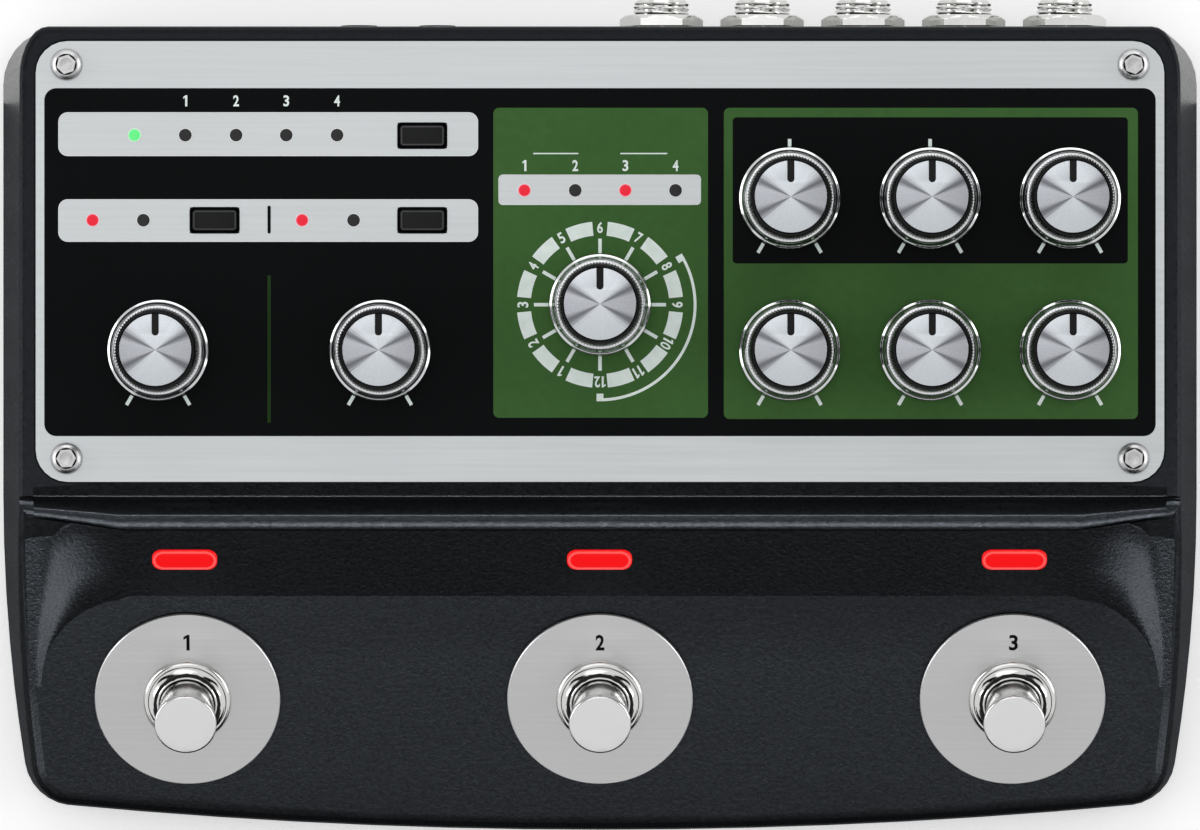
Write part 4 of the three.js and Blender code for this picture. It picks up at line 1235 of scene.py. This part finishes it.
def dress_footswitches(finishes):
    for i, side in enumerate(SIDES):
        at = Matrix.Translation(middle(f"{side}_foot_plate")) @ Matrix.Rotation(FOOT_TILT, 4, "X")
        plate = piece(f"{side}_plate_disc", foot_plate_mesh(f"{side}_foot_plate"), finishes["foot_plate"],
                      "chassis", at)
        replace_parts(plate, f"{side}_foot_plate")
        mark = number(
            f"{side}_number", str(i + 1), FOOT_NUMBER_HEIGHT, 0, FOOT_NUMBER_PLACE, FOOT_PLATE_HALF)
        piece(f"{side}_plate_number", mark, finishes["black"], "chassis", at)
        nut = piece(f"{side}_dress_nut", dress_nut_mesh(f"{side}_nut"), finishes["nickel"], "chassis",
                    at @ Matrix.Translation((0, 0, FOOT_PLATE_HALF)))
        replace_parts(nut, f"{side}_foot_nut")
        cap = at @ Matrix.Translation((0, 0, plunger_top(side)))
        made = piece(f"{side}_stem", plunger_mesh(f"{side}_stem"), finishes["plunger"],
                     f"{side}_plunger", cap)
        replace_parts(made, f"{side}_plunger")


def lens_tilt():
    """Tilt of the slope, read off the flat face of a lens."""
    mesh = frame["nodes"]["middle_lens"].data
    slopes = [face for face in mesh.polygons if face.normal.z > LENS_FACE_RISE and face.normal.y < 0]
    normal = max(slopes, key=lambda face: face.area).normal
    return math.atan2(-normal.y, normal.z)


def ends(values):
    """Middle of a spread of values, and half of its width."""
    return (max(values) + min(values)) / 2, (max(values) - min(values)) / 2


def dress_lenses(finish):
    """Rounded oblong lenses, each sitting in its window."""
    tilt = lens_tilt()
    for side in SIDES:
        node = f"{side}_lens"
        flat = Matrix.Rotation(-tilt, 4, "X")
        local = [flat @ vertex.co for vertex in frame["nodes"][node].data.vertices]
        top = max(v.z for v in local)
        face = [v for v in local if v.z > top - LENS_FACE_LAYER]
        x = sum(v.x for v in face) / len(face)
        _, half_x = ends([v.x for v in face])
        y, half_y = ends([v.y for v in face])
        outline = rounded_rectangle((-half_x, -half_y), (half_x, half_y), half_y * LENS_CORNER_SHARE, 10)
        mesh = slab(node, [outline], -LENS_DEPTH, 0, LENS_EDGE)
        at = Matrix.Rotation(tilt, 4, "X") @ Matrix.Translation((x, y, top))
        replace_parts(piece(f"{side}_lens_face", mesh, finish, "chassis", at), node)


def dress_buttons(plastic, edge):
    """Square caps, each with a narrow lighter rim round its face that paints a highlight on its edge."""
    for name in BUTTONS:
        node = f"{name}_button"
        low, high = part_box(node)
        outer, *rim = [grown(low, high, -amount, BUTTON_CORNER - amount, 6) for amount in (0, *BUTTON_PAINTED_RIM)]
        face = high.z - PRINT_STEP
        cap = slab(node, [outer], low.z, face, BUTTON_EDGE)
        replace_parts(piece(f"{name}_cap", cap, plastic, node), node)
        # The lighter rim is a painted highlight on the cap's broken edge
        line = slab(f"{node}_rim", rim, face - PRINT_STEP, high.z)
        piece(f"{name}_cap_painted_highlight", line, edge, node)


# Jacks and the rear wall

def threaded_sleeve(name, rear, tip):
    """Sleeve with a helical thread, a chamfered mouth and a bore."""
    sides = SLEEVE_SIDES
    end = tip - MOUTH_LENGTH
    steps = round((tip - rear) / (THREAD_PITCH / THREAD_STEPS))
    rings = []
    for step in range(steps + 1):
        along = rear + (end - rear) * step / steps

        def flank(i, turns=along / THREAD_PITCH):
            return THREAD_DEPTH * abs(2 * ((turns + i / sides) % 1) - 1)

        rings.append(circle(SLEEVE_RADIUS, along, sides, flank))
    rings.append(circle(SLEEVE_RADIUS - THREAD_DEPTH, tip - MOUTH_STEP, sides))
    rings.append(circle(SLEEVE_RADIUS - MOUTH_CHAMFER, tip, sides))
    rings.append(circle(JACK_BORE_RADIUS + MOUTH_WIDENING, tip, sides))
    rings.append(circle(JACK_BORE_RADIUS, tip - MOUTH_STEP, sides))
    rings.append(circle(JACK_BORE_RADIUS, rear - JACK_BORE_DEPTH, sides))
    return rings_mesh(name, rings, True, TURNED_SMOOTH)


def hex_nut(name, corner, rear, tip):
    """Low hexagon nut whose outer corners are turned away."""
    def ring(along, limit):
        def cut(i):
            return corner - min(corner * six_sided(2 * math.pi * i / NUT_SIDES), limit)

        return circle(corner, along, NUT_SIDES, cut)

    rings = [circle(SLEEVE_RADIUS, rear, NUT_SIDES), ring(rear, corner)]
    for step in range(NUT_STEPS + 1):
        share = step / NUT_STEPS
        limit = corner * (1 - (1 - NUT_FACE * FLAT_SHARE) * share)
        rings.append(ring(tip - NUT_CROWN * (1 - share), limit))
    rings.append(circle(SLEEVE_RADIUS, tip, NUT_SIDES))
    rings.append(rings[0])
    return rings_mesh(name, rings, False, TURNED_SMOOTH)


def jack_moulding(node, x, z, rear):
    """Square body of a jack behind the wall, open round its sleeve."""
    low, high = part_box(node)
    outline = rounded_rectangle((low.x, low.z), (high.x, high.z), JACK_BODY_CORNER, 4)
    opening = hole(x, z, SLEEVE_RADIUS - JACK_BODY_OVERLAP, JACK_OPENING_SIDES)
    body = slab(f"{node}_body", [outline, opening], low.y, rear, JACK_BODY_EDGE)
    body.transform(SWAP_Y_AND_Z)
    body.flip_normals()
    return body


def dress_jacks(finishes):
    to_rear = Matrix.Rotation(-math.pi / 2, 4, "X")
    for i in range(JACKS):
        node, nut_node = f"jack_{i + 1}", f"jack_nut_{i + 1}"
        x, _, z = middle(nut_node)
        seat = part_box(nut_node)[0].y
        axis = Matrix.Translation((x, 0, z)) @ to_rear
        sleeve = threaded_sleeve(node, seat - SLEEVE_START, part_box(node)[1].y)
        piece(f"{node}_sleeve", sleeve, finishes["nickel"], "chassis", axis)
        body = jack_moulding(node, x, z, seat - JACK_BODY_START)
        made = piece(f"{node}_moulding", body, finishes["jack"], "chassis")
        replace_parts(made, node)
        nut = hex_nut(nut_node, size(nut_node).x / 2, seat - NUT_SEAT, seat + NUT_HEIGHT)
        made = piece(f"{node}_hex_nut", nut, finishes["nickel"], "chassis", axis)
        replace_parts(made, nut_node)


# CAD pieces that keep their shape

def refine(node, material, edge=0.0, segments=2):
    """New finish for a CAD piece, with its edges broken where asked and its flats kept flat."""
    cad_piece = frame["nodes"][node]
    mesh = cad_piece.data
    mesh.materials.clear()
    mesh.materials.append(material)
    if "custom_normal" in mesh.attributes:
        mesh.attributes.remove(mesh.attributes["custom_normal"])
    mesh.shade_smooth()
    add = cad_piece.modifiers.new
    add("weld", "WELD").merge_threshold = WELD_GAP
    flats = add("flats", "DECIMATE")
    flats.decimate_type = "DISSOLVE"
    flats.angle_limit = FLAT_ANGLE
    if edge:
        bevel = add("broken_edge", "BEVEL")
        bevel.width = edge
        bevel.segments = segments
        bevel.limit_method = "ANGLE"
        bevel.angle_limit = BEND_ANGLE
        bevel.use_clamp_overlap = True
    add("crease", "EDGE_SPLIT").split_angle = CREASE
    even = add("even_normals", "WEIGHTED_NORMAL")
    even.mode = "FACE_AREA"
    even.weight = EVEN_WEIGHT
    even.keep_sharp = True


def floor_height(y):
    """Height of the foot plane, which rises to the rear."""
    return LIP_HEIGHT + (y - LIP) * math.tan(FOOT_TILT)


def rim_height(y):
    """Height of the casting's upper edge beside the pocket."""
    low = floor_height(RIM_END)
    share = min((y - RIM_END) / (PLATFORM_FRONT - RIM_END), 1)
    return low + (PLATFORM_HEIGHT - low) * share


def ledge_reach(x):
    """How far back the pocket's slope runs at a place across, before the ledge cuts it."""
    across = abs(x) / PLATFORM_SIDE
    width = LEDGE_ENDS[0][2] if across <= LEDGE_ENDS[0][0] else LEDGE_ENDS[-1][2]
    for (near, _, wide), (far, _, slim) in zip(LEDGE_ENDS, LEDGE_ENDS[1:]):
        if near < across <= far:
            width = wide + (slim - wide) * (across - near) / (far - near)
    return PLATFORM_FRONT - LEDGE_SECTION[-1][0] * LEDGE_SIZE * width


def pocket_outline(side, rear, radius):
    """Places round the pocket's sides and slope, each with its direction outwards."""
    places = [(side, RIM_END, 0.0)]
    for centre, start in ((side - radius, 0), (radius - side, 90)):
        for i in range(POCKET_STEPS):
            angle = (start + 90 * i / (POCKET_STEPS - 1)) * DEG
            y = rear - radius + radius * math.sin(angle)
            places.append((centre + radius * math.cos(angle), max(y, RIM_END), angle))
    places.append((-side, RIM_END, 180 * DEG))
    return places


def skin_faces(rows):
    """Faces of a grid, without those that shrink to nothing."""
    places = [place for row in rows for place in row]
    count = len(rows[0])
    faces = [(low + i, low + i + 1, low + count + i + 1, low + count + i)
             for low in range(0, len(places) - count, count) for i in range(count - 1)]
    return places, [(a, b, c, d) for a, b, c, d in faces if min(
        (places[a] - places[c]).length, (places[b] - places[d]).length) > SKIN_LIFT]


def skin_grid(name, rows, normals, coat):
    """A thin skin over a part of the casting, with even normals where the CAD part has facets."""
    half = len(rows[0]) // 2
    corner = rows[0][half]
    if (rows[0][half + 1] - corner).cross(rows[1][half] - corner).z <= 0:
        rows, normals = rows[::-1], normals[::-1]
    places, faces = skin_faces(rows)
    mesh = bpy.data.meshes.new(name)
    mesh.from_pydata([tuple(place) for place in places], [], faces)
    mesh.shade_smooth()
    mesh.normals_split_custom_set_from_vertices([tuple(n) for bent in normals for n in bent])
    return piece(name, mesh, coat, "chassis")


def ramp(value, start, width):
    return min(max((value - start) / width, 0), 1)


def cheek_normal(angle):
    """Slope's normal in the middle, which swings to the sides round the pocket's corners."""
    turn = min(angle, math.pi - angle) / (90 * DEG)
    swing = 90 * DEG * turn ** CHEEK_SWING
    side = 1 if angle <= 90 * DEG else -1
    tilt = CHEEK_TILT + (SLOPE_TILT - CHEEK_TILT) * turn ** CHEEK_SWING
    flat = Vector((-side * math.cos(swing), -math.sin(swing), 0))
    return (flat * math.sin(tilt) + Vector((0, 0, math.cos(tilt)))).normalized()


def climb_share(foot, climb):
    """How far a line up the pocket's side runs, and whether it ends at the rim."""
    share = 0.0
    while share < 1:
        place = foot + climb * (share + CLIMB_STEP)
        if place.z > rim_height(place.y) - SKIN_LIFT:
            return share, True
        if place.y > ledge_reach(place.x):
            return share, False
        share += CLIMB_STEP
    return share, False


def pocket_column(foot, climb, angle):
    """One line up the skin of the pocket, with its normals."""
    reach, at_rim = climb_share(foot, climb)
    on_cheek = abs(angle - 90 * DEG) > DEG
    foot = foot + Vector((0, 0, CHEEK_LIFT if on_cheek else SKIN_LIFT))
    shares = [i / SKIN_LEVELS for i in range(SKIN_LEVELS + 1)]
    places = [foot + climb * (reach * share - SKIN_SINK * (1 - share)) for share in shares]
    edge = places[-1] + climb * CLIMB_STEP
    if at_rim:
        edge = Vector((math.copysign(RIM_SIDE, edge.x), edge.y, rim_height(edge.y) + SKIN_LIFT))
    places += [places[-1].lerp(edge, SKIN_RIM_SHARE), edge]
    slope, cheek = cheek_normal(90 * DEG), cheek_normal(angle)
    turns = [ramp(share, *CHEEK_SHADE) * (1 - CHEEK_DUSK * ramp(share, *CHEEK_FADE)) for share in shares]
    normals = [slope.lerp(cheek, turn).normalized() for turn in turns]
    return places, normals + [RIM_NORMAL if at_rim else cheek] * 2


def pocket_skin(coat):
    """Slope and cheeks of the foot pocket, out to the rim."""
    low = pocket_outline(POCKET_SIDE, POCKET_REAR, POCKET_CORNER)
    rise = PLATFORM_HEIGHT - floor_height(POCKET_REAR)
    open_rear = POCKET_REAR + rise / math.tan(SLOPE_TILT)
    high = pocket_outline(POCKET_SIDE + POCKET_FLARE, open_rear, POCKET_OPEN_CORNER)
    columns = []
    for (x, y, angle), (far_x, far_y, _) in zip(low, high):
        foot = Vector((x, y, floor_height(y)))
        columns.append(pocket_column(foot, Vector((far_x, far_y, PLATFORM_HEIGHT)) - foot, angle))
    rows, normals = [list(zip(*side)) for side in zip(*columns)]
    return skin_grid("pocket_skin", rows, normals, coat)


def ledge_skin(coat):
    """Cove, ledge and ridge at the foot of the platform."""
    stations = [(-across, depth, width) for across, depth, width in reversed(LEDGE_ENDS)]
    stations += list(LEDGE_ENDS)
    rows, normals = [], []
    for forward, down, tilt in LEDGE_SECTION:
        rows.append([Vector((
            across * PLATFORM_SIDE, PLATFORM_FRONT - forward * LEDGE_SIZE * width,
            PLATFORM_HEIGHT - down * LEDGE_SIZE * depth + SKIN_LIFT)) for across, depth, width in stations])
        bent = Vector((0, -math.sin(tilt * DEG), math.cos(tilt * DEG)))
        normals.append([bent] * len(stations))
    return skin_grid("ledge_skin", rows, normals, coat)


def post_skins(coat):
    """Low caps over the four places where an inner post just reaches the foot plane."""
    made = []
    for i, (x, y) in enumerate(POST_PLACES):
        name = f"post_skin_{i + 1}"
        mesh = turned(name, POST_CAP, POST_SIDES)
        mesh.shade_smooth()
        mesh.normals_split_custom_set_from_vertices([(0, 0, 1)] * len(mesh.vertices))
        at = Matrix.Translation((x, y, floor_height(y))) @ Matrix.Rotation(FOOT_TILT, 4, "X")
        made.append(piece(name, mesh, coat, "chassis", at))
    return made


def cover_screws(metal):
    """Four screws under the panel's own, and four along the front."""
    low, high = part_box("housing")
    places = [middle(node).xy for node in panel_screws()]
    places += [(high.x * across, low.y * along) for across, along in FRONT_SCREW_SHARES]
    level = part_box("bottom_cover")[0].z
    for i, (x, y) in enumerate(places):
        mesh = button_head(f"cover_screw_{i + 1}", *COVER_SCREW)
        at = Matrix.Translation((x, y, level)) @ Matrix.Rotation(math.pi, 4, "X")
        piece(f"cover_screw_{i + 1}", mesh, metal, "chassis", at)


def rubber_feet(rubber):
    for place in FEET:
        node = f"foot_{place}"
        x, y, _ = middle(node)
        radius, edge = size(node).x / 2, FOOT_ROUND
        profile = ((radius - 2 * edge, 0), (radius - edge, edge / 2), (radius, edge * 1.5),
                   (radius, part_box(node)[1].z))
        at = Matrix.Translation((x, y, 0))
        mesh = turned(node, profile, FOOT_SIDES)
        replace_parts(piece(f"{node}_pad", mesh, rubber, "chassis", at), node)


# Everything together

def build_inks():
    return {
        "black": ink("panel_black", (0.0036, 0.0040, 0.0044)),
        "green": ink("panel_green", (0.052, 0.130, 0.036)),
        "dark_green": ink("divider_green", (0.018, 0.045, 0.012)),
        "white": ink("panel_white", (0.84, 0.95, 0.89)),
        # The pale edge ink paints a highlight along the bars' edges
        "edge": ink("painted_edge_highlight", (0.85, 0.87, 0.88)),
    }


def build_finishes():
    round_lamp = (LAMP_RADIUS, LAMP_RADIUS, LAMP_LINE_PLACE)
    return {
        "nickel": plated("bright_nickel_plate", (0.64, 0.64, 0.625), 0.1),
        "chrome": plated("knob_chrome", (0.62, 0.63, 0.64), 0.12),
        "plunger": plated("plunger_chrome", (0.68, 0.68, 0.68), 0.16),
        "screw": plated("screw_plate", (0.48, 0.48, 0.485), 0.3),
        "foot_plate": brushed("foot_plate_steel", (0.57, 0.57, 0.575), 0.32, 0.8),
        "jack": moulded("jack_moulding", (0.011, 0.011, 0.012), 0.4),
        "knob": moulded("knob_black", (0.0045, 0.0045, 0.005), 0.25),
        "button": moulded("button_black", (0.0035, 0.0038, 0.0045), 0.35),
        # Lighter plastic that paints the highlight round the button caps
        "button_painted_highlight": moulded("button_painted_highlight", (0.05, 0.051, 0.053), 0.3),
        "rubber": moulded("foot_rubber", (0.02, 0.02, 0.021), 0.7),
        "black": ink("number_black", (0.006, 0.006, 0.007)),
        # The pale lamp edge paints a highlight round each lamp
        "edge": ink("painted_lamp_highlight", (0.85, 0.86, 0.86)),
        "green_lamp": lit("green_lamp", (0.15, 0.93, 0.27), (0.5, 0.95, 0.6), *round_lamp),
        "red_lamp": lit("red_lamp", (0.85, 0.02, 0.045), (0.95, 0.3, 0.4), *round_lamp),
        "dark_lamp": moulded("dark_lamp", (0.026, 0.026, 0.027), 0.3),
        "red_lens": lit("red_lens", (1.0, 0.008, 0.010), (1.0, 0.16, 0.15), *LENS_HALF, LENS_LINE_PLACE),
    }


def dress_casting():
    """Coat and skins of the casting, which some lamps light alone."""
    coat, cheek, ledge = [cast_coat(*values) for values in zip(COAT_NAMES, COAT_SHINE, COAT_RELIEF)]
    refine("housing", coat, CAST_EDGE, 3)
    return [frame["nodes"]["housing"], *post_skins(coat), pocket_skin(cheek), ledge_skin(ledge)]


def finish_frame(finishes):
    """Finishes for the other CAD pieces that are shown as they are."""
    refine("face_plate", brushed("face_plate_metal", (0.55, 0.575, 0.585), 0.36, 0.6), PLATE_EDGE)
    refine("bottom_cover", brushed("cover_steel", (0.030, 0.031, 0.033), 0.5, 0.3), COVER_EDGE)
    refine("panel_board", moulded("circuit_board", BOARD_GREEN, 0.35))
    refine("main_board", socket_board("socket_board", "main_board"))
    for node in ("power_socket", *[f"{side}_footswitch_body" for side in SIDES]):
        refine(node, finishes["jack"], BODY_EDGE)


def dress_panel(inks, finishes):
    print_fields(inks)
    print_wells(inks)
    print_dial(inks)
    print_knob_ticks(inks)
    print_lamp_numbers(inks)
    set_lamps(finishes)


set_camera()
set_light(dress_casting())
set_floor()
finishes = build_finishes()
finish_frame(finishes)
dress_panel(build_inks(), finishes)
# The knob tops' spun aluminium carries a painted reflection of bright fans and dark wedges
dress_knobs(finishes["knob"], finishes["chrome"], spun("spun_aluminium_painted_fans"))
dress_buttons(finishes["button"], finishes["button_painted_highlight"])
dress_screws(finishes["screw"])
dress_footswitches(finishes)
dress_lenses(finishes["red_lens"])
dress_jacks(finishes)
cover_screws(finishes["nickel"])
rubber_feet(finishes["rubber"])

bpy.context.scene.view_settings.view_transform = "Standard"
